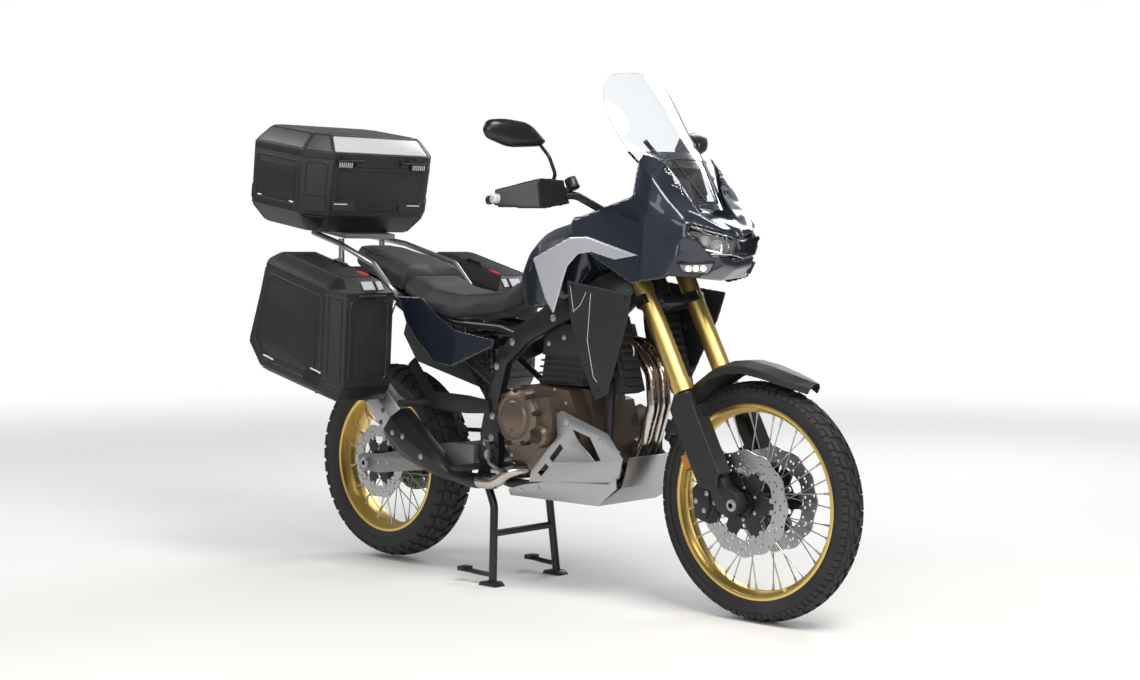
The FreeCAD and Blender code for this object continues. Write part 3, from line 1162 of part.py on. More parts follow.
def rack():
    """Top case plate, grab rails and the hoops that carry the side cases."""
    top = -TOP_CASE_DROP - SEAT_GAP
    plate = placed(box((-330, -20), (-112, 112), (top - 16, top)), TOP_CASE_TILT, TOP_CASE_X, TOP_CASE_Z)
    hoop_r = 8.0
    hoop_y = SIDE_CASE_IN_Y - SEAT_GAP - hoop_r
    shapes = [plate]
    for s in (-1, 1):
        shapes.append(bent_tube([(-330, s * 95, 1132), (-120, s * 150, 1092), (100, s * 186, 1023),
                                 (196, s * 182, 932), (190, s * 112, 896)],
                                10, 45))
        shapes.append(rod((-180, s * 92, 1012), (-180, s * 92, 1110), 10))
        shapes.append(bent_tube([(-180, s * 92, 1040), (-176, s * 170, 1010), (-150, s * hoop_y, 900),
                                 (-100, s * hoop_y, 790), (180, s * hoop_y, 740),
                                 (214, s * hoop_y, 820), (212, s * 188, 900)], hoop_r, 40))
    whole = fuse(shapes)
    save("luggage_rack", whole.cut([pieces["subframe"]]))


def rear_suspension():
    """Swingarm on its pivot bolt, hollow rear axle, shock absorber and rear calliper."""
    arms = []
    for s in (-1, 1):
        outline = [(-42, REAR_AXLE_Z - 26), (-42, REAR_AXLE_Z + 26), (60, REAR_AXLE_Z + 34), (400, 440),
                   (SWING_END_X, 442),
                   (SWING_END_X, 378), (380, 352), (60, REAR_AXLE_Z - 30)]
        arms.append(side_prism(outline, s * ARM_IN_Y, s * (ARM_IN_Y + ARM_T)))
        neck = [(430, 372), (430, 436), (PIVOT_X, PIVOT_Z + 26), (PIVOT_X + 22, PIVOT_Z + 8),
                (PIVOT_X + 22, PIVOT_Z - 12), (PIVOT_X, PIVOT_Z - 26)]
        arms.append(side_prism(neck, s * 46, s * 68))
    beam = side_prism([(396, 372), (470, 372), (470, 436), (396, 436)], -ARM_IN_Y - 4, ARM_IN_Y + 4)
    sleeve_y = SPAR_Y - 13 - SEAT_GAP
    sleeve = rod((PIVOT_X, -sleeve_y, PIVOT_Z), (PIVOT_X, sleeve_y, PIVOT_Z), 19)
    axle_bore = rod((0, -200, REAR_AXLE_Z), (0, 200, REAR_AXLE_Z), REAR_AXLE_R + AXLE_PLAY)
    pivot_bore = rod((PIVOT_X, -200, PIVOT_Z), (PIVOT_X, 200, PIVOT_Z), PIVOT_R + AXLE_PLAY)
    save("swingarm", fuse(arms + [beam, sleeve]).cut([axle_bore, pivot_bore]))
    head_in, head_out = SPAR_Y + 13 + SEAT_GAP, SPAR_Y + 22
    bolt = [rod((PIVOT_X, -head_out, PIVOT_Z), (PIVOT_X, head_out, PIVOT_Z), PIVOT_R)]
    bolt += [rod((PIVOT_X, s * head_in, PIVOT_Z), (PIVOT_X, s * head_out, PIVOT_Z), 17) for s in (-1, 1)]
    save("pivot_bolt", fuse(bolt))
    ends = (0, -REAR_AXLE_END, REAR_AXLE_Z), (0, REAR_AXLE_END, REAR_AXLE_Z)
    outer = ARM_IN_Y + ARM_T + SEAT_GAP
    nuts = [rod((0, s * outer, REAR_AXLE_Z), (0, s * (REAR_AXLE_END - 3), REAR_AXLE_Z), 19) for s in (-1,
                                                                                                      1)]
    save("rear_axle", fuse([rod(*ends, REAR_AXLE_R)] + nuts).cut(rod(*ends, REAR_AXLE_BORE_R)))
    low, top = V(505, 0, 486), V(SHOCK_TOP_X, 0, SHOCK_TOP_Z)
    along = top - low
    along.normalize()
    turns = [rod(low + along * (70 + 21 * k), low + along * (82 + 21 * k), 34) for k in range(8)]
    eye = rod((502, -22, 470), (502, 22, 470), 18)
    shock = [rod(low, top, 15), rod(low + along * 55, low + along * 66, 38), rod(top - along * 40, top, 32),
             eye]
    beam_foot = side_prism([(440, 436 + SEAT_GAP), (468, 436 + SEAT_GAP), (510, 462), (500, 478),
                            (486, 474)], -14, 14)
    save("rear_shock", fuse(shock + turns + [beam_foot]))
    outline = [(60, REAR_AXLE_Z + 92), (104, REAR_AXLE_Z + 52), (146, REAR_AXLE_Z + 84),
               (120, REAR_AXLE_Z + 128), (78, REAR_AXLE_Z + 134)]
    block = side_prism(outline, -101, -58)
    c = V(0, -REAR_DISC_Y, REAR_AXLE_Z)
    slot = rod(c - ACROSS * (DISC_T / 2 + 2), c + ACROSS * (DISC_T / 2 + 2), REAR_DISC_R + 4)
    arm = side_prism([(96, REAR_AXLE_Z + 30), (150, REAR_AXLE_Z + 44), (150, REAR_AXLE_Z + 90),
                      (104, REAR_AXLE_Z + 80)],
                     -ARM_IN_Y + SEAT_GAP, -90)
    save("rear_caliper", fuse([block, arm]).cut(slot))


def chain():
    """Closed chain: two rows of side plates round both chain wheels, pins on the free runs."""
    r_rear = CHAIN_PITCH / (2 * sin(pi / REAR_TEETH))
    r_front = CHAIN_PITCH / (2 * sin(pi / FRONT_TEETH))
    a, b = V(0, 0, REAR_AXLE_Z), V(OUTPUT_X, 0, OUTPUT_Z)
    span = b - a
    base = atan2(span.z, span.x)
    slope = asin((r_rear - r_front) / span.Length)
    up, down = base + pi / 2 - slope, base - pi / 2 + slope

    def loop(off, y0, y1):
        big, small = r_rear + off, r_front + off

        def at(c, r, t):
            return V(c.x + r * cos(t), y0, c.z + r * sin(t))

        edges = [
            Part.LineSegment(at(a, big, up), at(b, small, up)).toShape(),
            Part.Arc(at(b, small, up), at(b, small, base), at(b, small, down)).toShape(),
            Part.LineSegment(at(b, small, down), at(a, big, down)).toShape(),
            Part.Arc(at(a, big, down), at(a, big, base + pi), at(a, big, up)).toShape(),
        ]
        return Part.Face(Part.Wire(edges)).extrude(V(0, y1 - y0, 0))

    rows = []
    for s in (-1, 1):
        y0 = CHAIN_Y + s * CHAIN_GAP / 2
        y1 = y0 + s * CHAIN_PLATE_T
        rows.append(loop(CHAIN_HALF_H, y0, y1).cut(loop(-CHAIN_HALF_H, y0 - s, y1 + s)))
    pins = []
    for angle in (up, down):
        p0 = a + V(r_rear * cos(angle), 0, r_rear * sin(angle))
        p1 = b + V(r_front * cos(angle), 0, r_front * sin(angle))
        count = int((p1 - p0).Length / (2 * CHAIN_PITCH))
        for k in range(3, count - 1):
            p = p0 + (p1 - p0) * (k / count)
            half = CHAIN_GAP / 2 + 1
            pins.append(box((p.x - 4, p.x + 4), (CHAIN_Y - half, CHAIN_Y + half), (p.z - 4, p.z + 4)))
    save("chain", fuse(rows + pins))


def footrests():
    """Rider and passenger footrests with their hangers."""
    shapes = []
    face_y = SPAR_Y + 13 + SEAT_GAP
    for s in (-1, 1):
        hanger = side_prism([(552, 352), (600, 352), (600, 394), (562, 394)], s * face_y, s * (face_y + 10))
        peg = box((548, 600), sorted((s * (face_y + 9), s * 248)), (372, 386))
        shapes.append(fuse([hanger, peg]))
        plate = side_prism([(598, 590), (604, 548), (500, 542), (330, 548), (215, 690), (245, 712),
                            (336, 606), (500, 600)],
                           s * face_y, s * (face_y + 8))
        bar = rod((318, s * (face_y + 7), 566), (318, s * 262, 572), 12)
        shapes.append(fuse([plate, bar]))
    save("footrests", Part.makeCompound(shapes))


def foot_controls():
    """Brake pedal on the right and gear lever on the left."""
    face_y = SPAR_Y + 13 + SEAT_GAP
    brake_pin = rod((590, -face_y, 455), (590, -face_y - 14, 455), 11)
    brake = bent_tube([(590, -face_y - 8, 455), (628, -154, 436), (652, -182, 398), (706, -192, 382)], 6.5,
                      30)
    tread = box((696, 730), (-216, -182), (374, 386))
    gear_pin = rod((622, face_y, 394), (622, face_y + 14, 394), 9.5)
    gear = bent_tube([(622, face_y + 8, 394), (680, 164, 372), (790, 176, 378)], 6, 40)
    toe = rod((786, 172, 378), (786, 214, 378), 9)
    save("foot_controls", Part.makeCompound([fuse([brake, tread, brake_pin]), fuse([gear, toe, gear_pin])]))


def centre_stand():
    """Two splayed legs with feet and treads, a cross tube, and pins in the frame lugs."""
    shapes = []
    for s in (-1, 1):
        top = (STAND_PIVOT_X, s * STAND_TOP_Y, STAND_PIVOT_Z)
        knee = (STAND_PIVOT_X + 34, s * (STAND_TOP_Y + 3), STAND_PIVOT_Z - 70)
        low = (STAND_FOOT_X, s * STAND_FOOT_Y, STAND_TUBE_R)
        shapes.append(bent_tube([top, knee, low], STAND_TUBE_R, 60))
        shapes.append(rod((STAND_PIVOT_X, s * (SPAR_Y - 14), STAND_PIVOT_Z),
                          (STAND_PIVOT_X, s * (STAND_TOP_Y + 13), STAND_PIVOT_Z), STAND_PIN_R))
        foot = [(STAND_FOOT_X - 44, 0), (STAND_FOOT_X + 34, 0), (STAND_FOOT_X + 20, 14),
                (STAND_FOOT_X - 36, 12)]
        shapes.append(side_prism(foot, s * (STAND_FOOT_Y - 22), s * (STAND_FOOT_Y + 22)))
        tread = bent_tube([(STAND_FOOT_X, s * STAND_FOOT_Y, 34), (STAND_FOOT_X - 60, s * (STAND_FOOT_Y + 4),
                                                                  36),
                           (STAND_FOOT_X - 128, s * (STAND_FOOT_Y + 8), 40)], 8, 40)
        pad = box((STAND_FOOT_X - 138, STAND_FOOT_X - 106),
                  sorted((s * (STAND_FOOT_Y - 12), s * (STAND_FOOT_Y + 26))), (36, 50))
        shapes += [tread, pad]
    cross_z = 165.0
    shapes.append(rod((STAND_FOOT_X - 8, -STAND_FOOT_Y + 14, cross_z), (STAND_FOOT_X - 8, STAND_FOOT_Y - 14,
                                                                        cross_z), 11))
    save("centre_stand", fuse(shapes))


def side_stand():
    """Prop on the left, folded back along the cradle; its eye turns on a tilted pin."""
    pin_dir = V(0, cos(SIDE_STAND_TILT), sin(SIDE_STAND_TILT))
    at = V(SIDE_STAND_X, SIDE_STAND_Y, SIDE_STAND_Z)
    start, back = at + pin_dir * 12, V(-1, 0, 0)
    end = start + back * SIDE_STAND_LENGTH
    eye = rod(at, at + pin_dir * 24, 19)
    leg = rod(start + back * 8, end, 11)
    down = pin_dir.cross(back)
    sole = [end - back * 2 + ACROSS * a + V(0, 0, 1) * b for a, b in ((-14, -24), (44, -24), (44, 24),
                                                                      (-14, 24))]
    foot = Part.Face(Part.makePolygon(sole + sole[:1])).extrude(back * 8)
    bore = rod(at - pin_dir, at + pin_dir * 40, STAND_PIN_R + AXLE_PLAY)
    save("side_stand", fuse([leg, eye, foot]).cut(bore))


front_wheel()
rear_wheel()
fork()
triple_clamp()
handlebar()
hand_controls()
handguards()
mirrors()
front_fender()
fork_guards()
front_calipers()
main_frame()
subframe()
engine()
radiators()
exhaust()
silencer()
skid_plate()
fuel_tank()
body_panels()
front_cowl()
windscreen()
dash()
seats()
tail_section()
top_case()
side_case("right_case", -1)
side_case("left_case", 1)
rack()
rear_suspension()
chain()
footrests()
foot_controls()
centre_stand()
side_stand()
write_all()
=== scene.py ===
import bpy
import bmesh
from contextlib import contextmanager
from math import atan2, cos, hypot, pi, radians, sin, sqrt, tan
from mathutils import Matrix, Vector
from mathutils.bvhtree import BVHTree


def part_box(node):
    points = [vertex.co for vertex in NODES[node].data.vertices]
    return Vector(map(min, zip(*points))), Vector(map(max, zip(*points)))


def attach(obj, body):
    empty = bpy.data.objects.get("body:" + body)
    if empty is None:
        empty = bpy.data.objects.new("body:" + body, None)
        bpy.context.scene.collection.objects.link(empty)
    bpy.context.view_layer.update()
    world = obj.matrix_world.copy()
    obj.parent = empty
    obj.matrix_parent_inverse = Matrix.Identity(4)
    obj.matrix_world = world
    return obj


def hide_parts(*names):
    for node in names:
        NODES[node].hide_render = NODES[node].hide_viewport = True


# Adventure motorcycle on its centre stand, in metres: +X forward, +Y to the rider's left, +Z up.
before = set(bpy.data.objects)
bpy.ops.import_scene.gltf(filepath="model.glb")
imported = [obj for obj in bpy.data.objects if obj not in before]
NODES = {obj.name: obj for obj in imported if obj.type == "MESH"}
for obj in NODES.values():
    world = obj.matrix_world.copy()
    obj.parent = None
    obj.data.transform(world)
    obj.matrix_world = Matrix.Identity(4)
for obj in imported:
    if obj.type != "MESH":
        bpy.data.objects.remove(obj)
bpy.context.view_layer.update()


def middle(node):
    low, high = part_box(node)
    return (Vector(low) + Vector(high)) / 2


FRONT_HUB = middle("front_axle")
REAR_HUB = middle("rear_axle")
# Distance from the rear axle, from which the sizes along X below are measured, to the origin
SHIFT = -REAR_HUB.x
RAKE = radians(27.5)
STEER_UP = Vector((-sin(RAKE), 0, cos(RAKE)))
STEER_AHEAD = Vector((cos(RAKE), 0, sin(RAKE)))
HEAD_FOOT = Vector((FRONT_HUB.x + 0.113, 0, 0))
SIDES = ((-1, "right"), (1, "left"))


def at(x, y, z):
    """Point from millimetres ahead of the rear axle, left of the middle and above the ground."""
    return Vector((x / 1000 - SHIFT, y / 1000, z / 1000))


def on_fork(ahead, y, up):
    """Point from millimetres ahead of the steering axis, across, and up along it."""
    return HEAD_FOOT + (STEER_UP * up + STEER_AHEAD * ahead) / 1000 + Vector((0, y / 1000, 0))


# Camera and studio
CAMERA_AT = Vector((4.7736 - SHIFT, -4.1367, 1.0632))
CAMERA_YAW = radians(43.609)
CAMERA_DOWN = radians(2.781)
FOCAL_PIXELS = 1816.4
PHOTO_WIDTH = 1140
WORLD_STRENGTH = 0.5
MIRRORED_STRENGTH = 0.22
# Lamps: name, place, size, power in watts, colour
LAMPS = [
    ("key", (3.5, -1.2, 4.6), 2.6, 230, (1.0, 0.96, 0.9)),
    ("front_fill", (3.4, -5.0, 2.6), 3.4, 90, (0.95, 0.97, 1.0)),
    ("rear_fill", (-4.2, -2.2, 4.0), 2.2, 90, (1.0, 0.98, 0.95)),
    ("left_fill", (-1.0, 4.6, 3.6), 3.0, 110, (0.96, 0.98, 1.0)),
]


def link(data, name):
    piece = bpy.data.objects.new(name, data)
    bpy.context.collection.objects.link(piece)
    return piece


def facing(way):
    """Turn of a camera or lamp that looks along a way."""
    return way.to_track_quat("-Z", "Y").to_euler()


def make_camera():
    data = bpy.data.cameras.new("photo_camera")
    data.sensor_fit = "HORIZONTAL"
    data.sensor_width = 36.0
    data.lens = 36.0 * FOCAL_PIXELS / PHOTO_WIDTH
    data.clip_end = 200
    camera = link(data, "photo_camera")
    camera.location = CAMERA_AT
    level = cos(CAMERA_DOWN)
    look = Vector((-sin(CAMERA_YAW) * level, cos(CAMERA_YAW) * level, -sin(CAMERA_DOWN)))
    camera.rotation_euler = facing(look)
    bpy.context.scene.camera = camera


class Field:
    """One output of a node; sums and products of fields add Math nodes."""

    def __init__(self, graph, socket):
        self.graph = graph
        self.socket = socket

    def op(self, operation, *values):
        return self.graph.add("ShaderNodeMath", {"operation": operation}, values)

    def __add__(self, other):
        return self.op("ADD", self, other)

    def __sub__(self, other):
        return self.op("SUBTRACT", self, other)

    def __rsub__(self, other):
        return self.op("SUBTRACT", other, self)

    def __mul__(self, other):
        return self.op("MULTIPLY", self, other)

    def __truediv__(self, other):
        return self.op("DIVIDE", self, other)

    def __pow__(self, other):
        return self.op("POWER", self, other)

    __radd__ = __add__
    __rmul__ = __mul__

    def wave(self):
        return self.op("SINE", self)

    def step(self, low, high):
        """0 below low, 1 above high, and a smooth rise between."""
        settings = {"interpolation_type": "SMOOTHSTEP"}
        return self.graph.add("ShaderNodeMapRange", settings, {0: self, 1: low, 2: high})


class Graph:
    """Node tree under construction, closed by an output node."""

    def __init__(self, tree, end):
        self.tree = tree
        tree.nodes.clear()
        self.output = tree.nodes.new(end)

    def add(self, kind, settings=None, inputs=(), out=0):
        node = self.tree.nodes.new(kind)
        for key, value in (settings or {}).items():
            setattr(node, key, value)
        pairs = inputs.items() if isinstance(inputs, dict) else enumerate(inputs)
        for key, value in pairs:
            if isinstance(value, Field):
                self.tree.links.new(value.socket, node.inputs[key])
            else:
                node.inputs[key].default_value = value
        return Field(self, node.outputs[out])

    def close(self, field):
        self.tree.links.new(field.socket, self.output.inputs[0])


class Finish(Graph):
    """A material under construction, read in Object coordinates."""

    def __init__(self, name):
        self.material = bpy.data.materials.new(name)
        self.material.use_nodes = True
        super().__init__(self.material.node_tree, "ShaderNodeOutputMaterial")
        self.place = self.add("ShaderNodeTexCoord", out="Object")

    def reach(self, first, second, centre=(0, 0, 0)):
        """Distance from centre over two axes."""
        a, b = (self.add("ShaderNodeSeparateXYZ", None, [self.place], i) - centre[i] for i in (first, second))
        return (a * a + b * b) ** 0.5

    def height(self):
        return self.add("ShaderNodeSeparateXYZ", None, [self.place], 2)

    def noise(self, scale, detail=3.0, where=None, rough=0.5):
        inputs = {"Vector": where or self.place, "Scale": scale, "Detail": detail, "Roughness": rough}
        return self.add("ShaderNodeTexNoise", None, inputs)

    def drawn(self, scale, detail, turn=(0, 0, 0)):
        """Noise drawn out by a scale for each axis."""
        where = self.add("ShaderNodeMapping", None, {0: self.place, 2: turn, 3: scale})
        return self.noise(1.0, detail, where)

    def cells(self, scale):
        return self.add("ShaderNodeTexVoronoi", None, {"Vector": self.place, "Scale": scale})

    def blend(self, share, first, second):
        """Colour between two colours."""
        rgba = [c if isinstance(c, Field) else (*c, 1.0) for c in (first, second)]
        return self.add("ShaderNodeMix", {"data_type": "RGBA"}, {0: share, 6: rgba[0], 7: rgba[1]}, 2)

    def bump(self, height, distance):
        return self.add("ShaderNodeBump", None, {"Height": height, "Distance": distance, "Strength": 1.0})

    def surface(self, color, roughness, normal=None, **more):
        """Principled shader; more gives its other inputs by name with _ for a space."""
        inputs = {"Base Color": color if isinstance(color, Field) else (*color, 1.0), "Roughness": roughness}
        if normal:
            inputs["Normal"] = normal
        for key, value in more.items():
            inputs[key.replace("_", " ")] = value
        self.close(self.add("ShaderNodeBsdfPrincipled", None, inputs))
        return self.material


def tint(color, share, lift=0.0):
    return tuple(min(1, c * share + lift) for c in color)


def gloss_paint(name, deep, light, metal=0.35):
    """Clear-coated body colour with fine flakes and a faint unevenness of the coat."""
    f = Finish(name)
    flake = f.cells(2400).step(0.2, 0.75)
    color = f.blend(flake * 0.35 + f.noise(3.0) * 0.4, deep, light)
    peel = f.bump(f.noise(210, 2), 0.00012)
    return f.surface(color, 0.3 + 0.08 * flake, peel, Metallic=metal, Coat_Weight=1.0, Coat_Roughness=0.04)


def grained_plastic(name, color, roughness=0.52, scale=1500, depth=0.00022):
    """Moulded plastic with a fine leather-like grain, duller where it has been handled."""
    f = Finish(name)
    grain = f.cells(scale)
    soft = f.noise(14, 4)
    shade = f.blend(soft.step(0.35, 0.75) * 0.6 + grain * 0.25, color, tint(color, 1.5))
    normal = f.bump(grain + f.noise(scale * 0.4, 2) * 0.6, depth)
    return f.surface(shade, roughness + 0.12 * soft - 0.06, normal)


def coated_metal(name, color, roughness):
    """Powder-coated metal with a slight pebble and paler worn patches."""
    f = Finish(name)
    wear = f.noise(26, 6).step(0.58, 0.72)
    shade = f.blend(wear * 0.35, color, tint(color, 2.2, 0.01))
    return f.surface(shade, roughness + 0.14 * wear, f.bump(f.noise(420, 2), 0.00012))


def cast_metal(name, color, roughness=0.45, metal=0.75, depth=0.0005):
    """Sand-cast surface: coarse skin under fine grit, darker in its hollows."""
    f = Finish(name)
    skin = f.noise(300, 5, rough=0.7)
    patch = f.noise(18, 3)
    shade = f.blend(skin.step(0.3, 0.7) * 0.5 + patch * 0.4, tint(color, 0.62), color)
    return f.surface(shade, roughness + 0.2 * patch - 0.08, f.bump(skin, depth), Metallic=metal)


def brushed_metal(name, color, along=(8, 900, 900), roughness=0.3):
    """Rolled and brushed metal: long fine lines, soft blotches and a few scratches."""
    f = Finish(name)
    lines = f.drawn(along, 4)
    scratch = f.drawn((20, 420, 260), 2, (0.4, 0.3, 0.8)).step(0.7, 0.76)
    shade = f.blend(lines * 0.5 + f.noise(9, 4) * 0.3, tint(color, 0.72), color)
    normal = f.bump(lines - scratch * 0.6, 0.00006)
    return f.surface(shade, roughness + 0.16 * lines + 0.1 * scratch, normal, Metallic=1.0)


def turned_metal(name, color, centre):
    """Metal turned about a wheel's axle: fine rings round the centre, and a thin haze."""
    f = Finish(name)
    ring = (f.reach(0, 2, centre) * 5200).wave()
    haze = f.noise(30, 4)
    shade = f.blend(haze * 0.5 + ring * 0.08, tint(color, 0.75), color)
    return f.surface(shade, 0.25 + 0.12 * haze, f.bump(ring, 0.00003), Metallic=1.0)


def anodised(name, color, roughness):
    """Gold anodised alloy with a faint drawn grain and patches of dust."""
    f = Finish(name)
    grain = f.drawn((300, 300, 60), 3)
    dust = f.noise(24, 5).step(0.55, 0.8)
    shade = f.blend(dust * 0.3 + grain * 0.15, color, tint(color, 0.8))
    return f.surface(shade, roughness + 0.06 * grain + 0.1 * dust, f.bump(grain, 0.00003), Metallic=1.0)


def heat_tinted(name):
    """Polished steel header, straw and blue near the head, with patches of soot."""
    f = Finish(name)
    hot = f.height().step(0.55, 0.8)
    cloud = f.noise(22, 4)
    steel = f.blend(cloud * 0.6, (0.62, 0.58, 0.52), (0.42, 0.37, 0.32))
    shade = f.blend(hot * cloud * 1.6, steel, (0.42, 0.26, 0.16))
    soot = f.noise(60, 5).step(0.5, 0.8)
    return f.surface(shade, 0.16 + 0.3 * soot, f.bump(soot, 0.00005), Metallic=1.0)


def grip_rubber(name):
    f = Finish(name)
    fine = f.noise(700, 4)
    dust = f.noise(12, 5).step(0.5, 0.85)
    shade = f.blend(dust * 0.5 + fine * 0.2, (0.018, 0.018, 0.018), (0.06, 0.055, 0.05))
    return f.surface(shade, 0.7 + 0.12 * fine, f.bump(fine, 0.0002))


def tyre_rubber(name, hub, rim_edge, shoulder):
    """Tyre: ringed side wall, dusty tread and fine mould skin."""
    f = Finish(name)
    radius = f.reach(0, 2, hub)
    wall = 1 - radius.step(shoulder - 0.012, shoulder)
    ring = (radius * 1700).wave() * wall * (1 - radius.step(rim_edge + 0.02, rim_edge + 0.028))
    dust = f.noise(9, 6, rough=0.65).step(0.42, 0.8)
    fine = f.noise(900, 3)
    shade = f.blend(dust * 0.4 + fine * 0.1, (0.010, 0.010, 0.011), (0.06, 0.053, 0.047))
    return f.surface(shade, 0.66 + 0.2 * dust, f.bump(fine * 0.3 + ring * 0.5, 0.0003))


def seat_cover(name):
    """Seat cover: pebbled grain with the sheen of vinyl."""
    f = Finish(name)
    pebble = f.cells(520)
    fold = f.noise(16, 3)
    shade = f.blend(pebble * 0.5 + fold * 0.3, (0.009, 0.009, 0.010), (0.028, 0.028, 0.031))
    return f.surface(shade, 0.46 + 0.18 * fold, f.bump(pebble + fold * 0.3, 0.0005), Sheen_Weight=0.1)


def clear_part(name, color, roughness=0.02, share=1.0):
    """Clear or tinted plastic with a thin haze; share is how much light it lets through."""
    f = Finish(name)
    haze = f.noise(40, 5).step(0.6, 0.9)
    return f.surface(color, roughness + 0.05 * haze, Transmission_Weight=share, IOR=1.45)


def glowing(name, color, strength):
    f = Finish(name)
    shade = f.blend(f.cells(500) * 0.3, color, (1, 1, 1))
    return f.surface(shade, 0.3, Emission_Color=(*color, 1.0), Emission_Strength=strength)


NAVY = gloss_paint("navy_paint", (0.006, 0.009, 0.018), (0.012, 0.02, 0.042))
LID_SILVER = gloss_paint("lid_silver", (0.62, 0.62, 0.63), (0.78, 0.78, 0.79), 0.3)
SILVER = gloss_paint("silver_paint", (0.52, 0.53, 0.55), (0.7, 0.71, 0.73), 0.45)
WHITE = gloss_paint("pale_paint", (0.62, 0.62, 0.62), (0.75, 0.75, 0.76), 0.1)
DISPLAY_GLASS = gloss_paint("display_glass", (0.008, 0.009, 0.011), (0.014, 0.016, 0.02), 0.0)
BLACK_PLASTIC = grained_plastic("black_plastic", (0.0095, 0.0095, 0.011), 0.44)
SMOOTH_PLASTIC = grained_plastic("smooth_plastic", (0.008, 0.008, 0.0095), 0.28, 1800, 0.000015)
CASE_PLASTIC = grained_plastic("case_plastic", (0.0135, 0.0115, 0.0105), 0.38, 1300, 0.0003)
GREY_PLASTIC = grained_plastic("grey_plastic", (0.06, 0.058, 0.057), 0.36, 1400, 0.0002)
RED_PART = grained_plastic("red_part", (0.42, 0.02, 0.015), 0.4)
FRAME_PAINT = coated_metal("frame_paint", (0.012, 0.012, 0.014), 0.32)
BLACK_METAL = coated_metal("black_metal", (0.010, 0.010, 0.011), 0.32)
ENGINE_BRONZE = cast_metal("engine_bronze", (0.2, 0.15, 0.115), 0.32, 0.65, 0.00018)
ENGINE_DARK = cast_metal("engine_dark", (0.05, 0.045, 0.042), 0.5, 0.5, 0.0004)
CAST_GREY = cast_metal("cast_grey", (0.32, 0.32, 0.33))
CAST_BLACK = cast_metal("cast_black", (0.035, 0.035, 0.037), 0.42, 0.4, 0.0003)
ALLOY = brushed_metal("brushed_alloy", (0.56, 0.56, 0.57))
STEEL = brushed_metal("bright_steel", (0.6, 0.6, 0.61), (60, 700, 700), 0.26)
DARK_STEEL = brushed_metal("dark_steel", (0.2, 0.2, 0.21), (60, 500, 500), 0.36)
MIRROR_GLASS = brushed_metal("mirror_glass", (0.82, 0.84, 0.86), (3, 3, 3), 0.04)
GOLD_RIM = anodised("gold_rim", (0.84, 0.6, 0.19), 0.3)
GOLD_FORK = anodised("gold_fork", (0.82, 0.6, 0.2), 0.36)
FRONT_DISC_METAL = turned_metal("front_disc_steel", (0.62, 0.62, 0.63), FRONT_HUB)
REAR_DISC_METAL = turned_metal("rear_disc_steel", (0.62, 0.62, 0.63), REAR_HUB)
HEADER = heat_tinted("header_steel")
RUBBER = grip_rubber("rubber")
FRONT_RUBBER = tyre_rubber("front_tyre_rubber", FRONT_HUB, 0.281, 0.325)
REAR_RUBBER = tyre_rubber("rear_tyre_rubber", REAR_HUB, 0.243, 0.298)
SEAT = seat_cover("seat_cover")
SCREEN = clear_part("screen_clear", (0.93, 0.96, 0.99))
LENS = clear_part("lamp_clear", (0.96, 0.97, 0.98))
RED_LENS = clear_part("red_lens", (0.75, 0.02, 0.015), 0.08, 0.6)
AMBER_LENS = clear_part("amber_lens", (0.9, 0.32, 0.03), 0.08, 0.6)
LAMP_WHITE = glowing("lamp_white", (1.0, 0.98, 0.94), 1.6)

# Slot of each finish
SLOTS = {
    "navy_paint": [NAVY], "silver_paint": [SILVER, LID_SILVER, WHITE],
    "case_plastic": [CASE_PLASTIC, GREY_PLASTIC], "black_metal": [BLACK_METAL, CAST_BLACK],
    "black_plastic": [BLACK_PLASTIC, SMOOTH_PLASTIC, DISPLAY_GLASS],
    "engine_metal": [ENGINE_BRONZE, ENGINE_DARK], "cast_metal": [CAST_GREY], "frame_paint": [FRAME_PAINT],
    "bright_alloy": [ALLOY, STEEL, MIRROR_GLASS], "steel": [DARK_STEEL, FRONT_DISC_METAL, REAR_DISC_METAL],
    "gold_alloy": [GOLD_RIM], "rubber": [RUBBER], "tyre": [FRONT_RUBBER, REAR_RUBBER], "seat_cover": [SEAT],
    "screen": [SCREEN], "lamp_lens": [LENS, LAMP_WHITE], "tail_lens": [RED_LENS, AMBER_LENS, RED_PART],
}
SLOT_OF = {material.name: slot for slot, group in SLOTS.items() for material in group}

# Finish of each node of the construction that shows as it is
NODE_FINISH = {
    "exhaust_headers": HEADER, "fork_tubes": GOLD_FORK, "front_axle": STEEL, "grips": RUBBER,
    "handlebar": BLACK_METAL, "luggage_rack": ALLOY, "pivot_bolt": STEEL, "radiators": CAST_BLACK,
    "rear_axle": STEEL, "rear_shock": BLACK_METAL, "rear_sprocket": DARK_STEEL, "subframe": FRAME_PAINT,
}


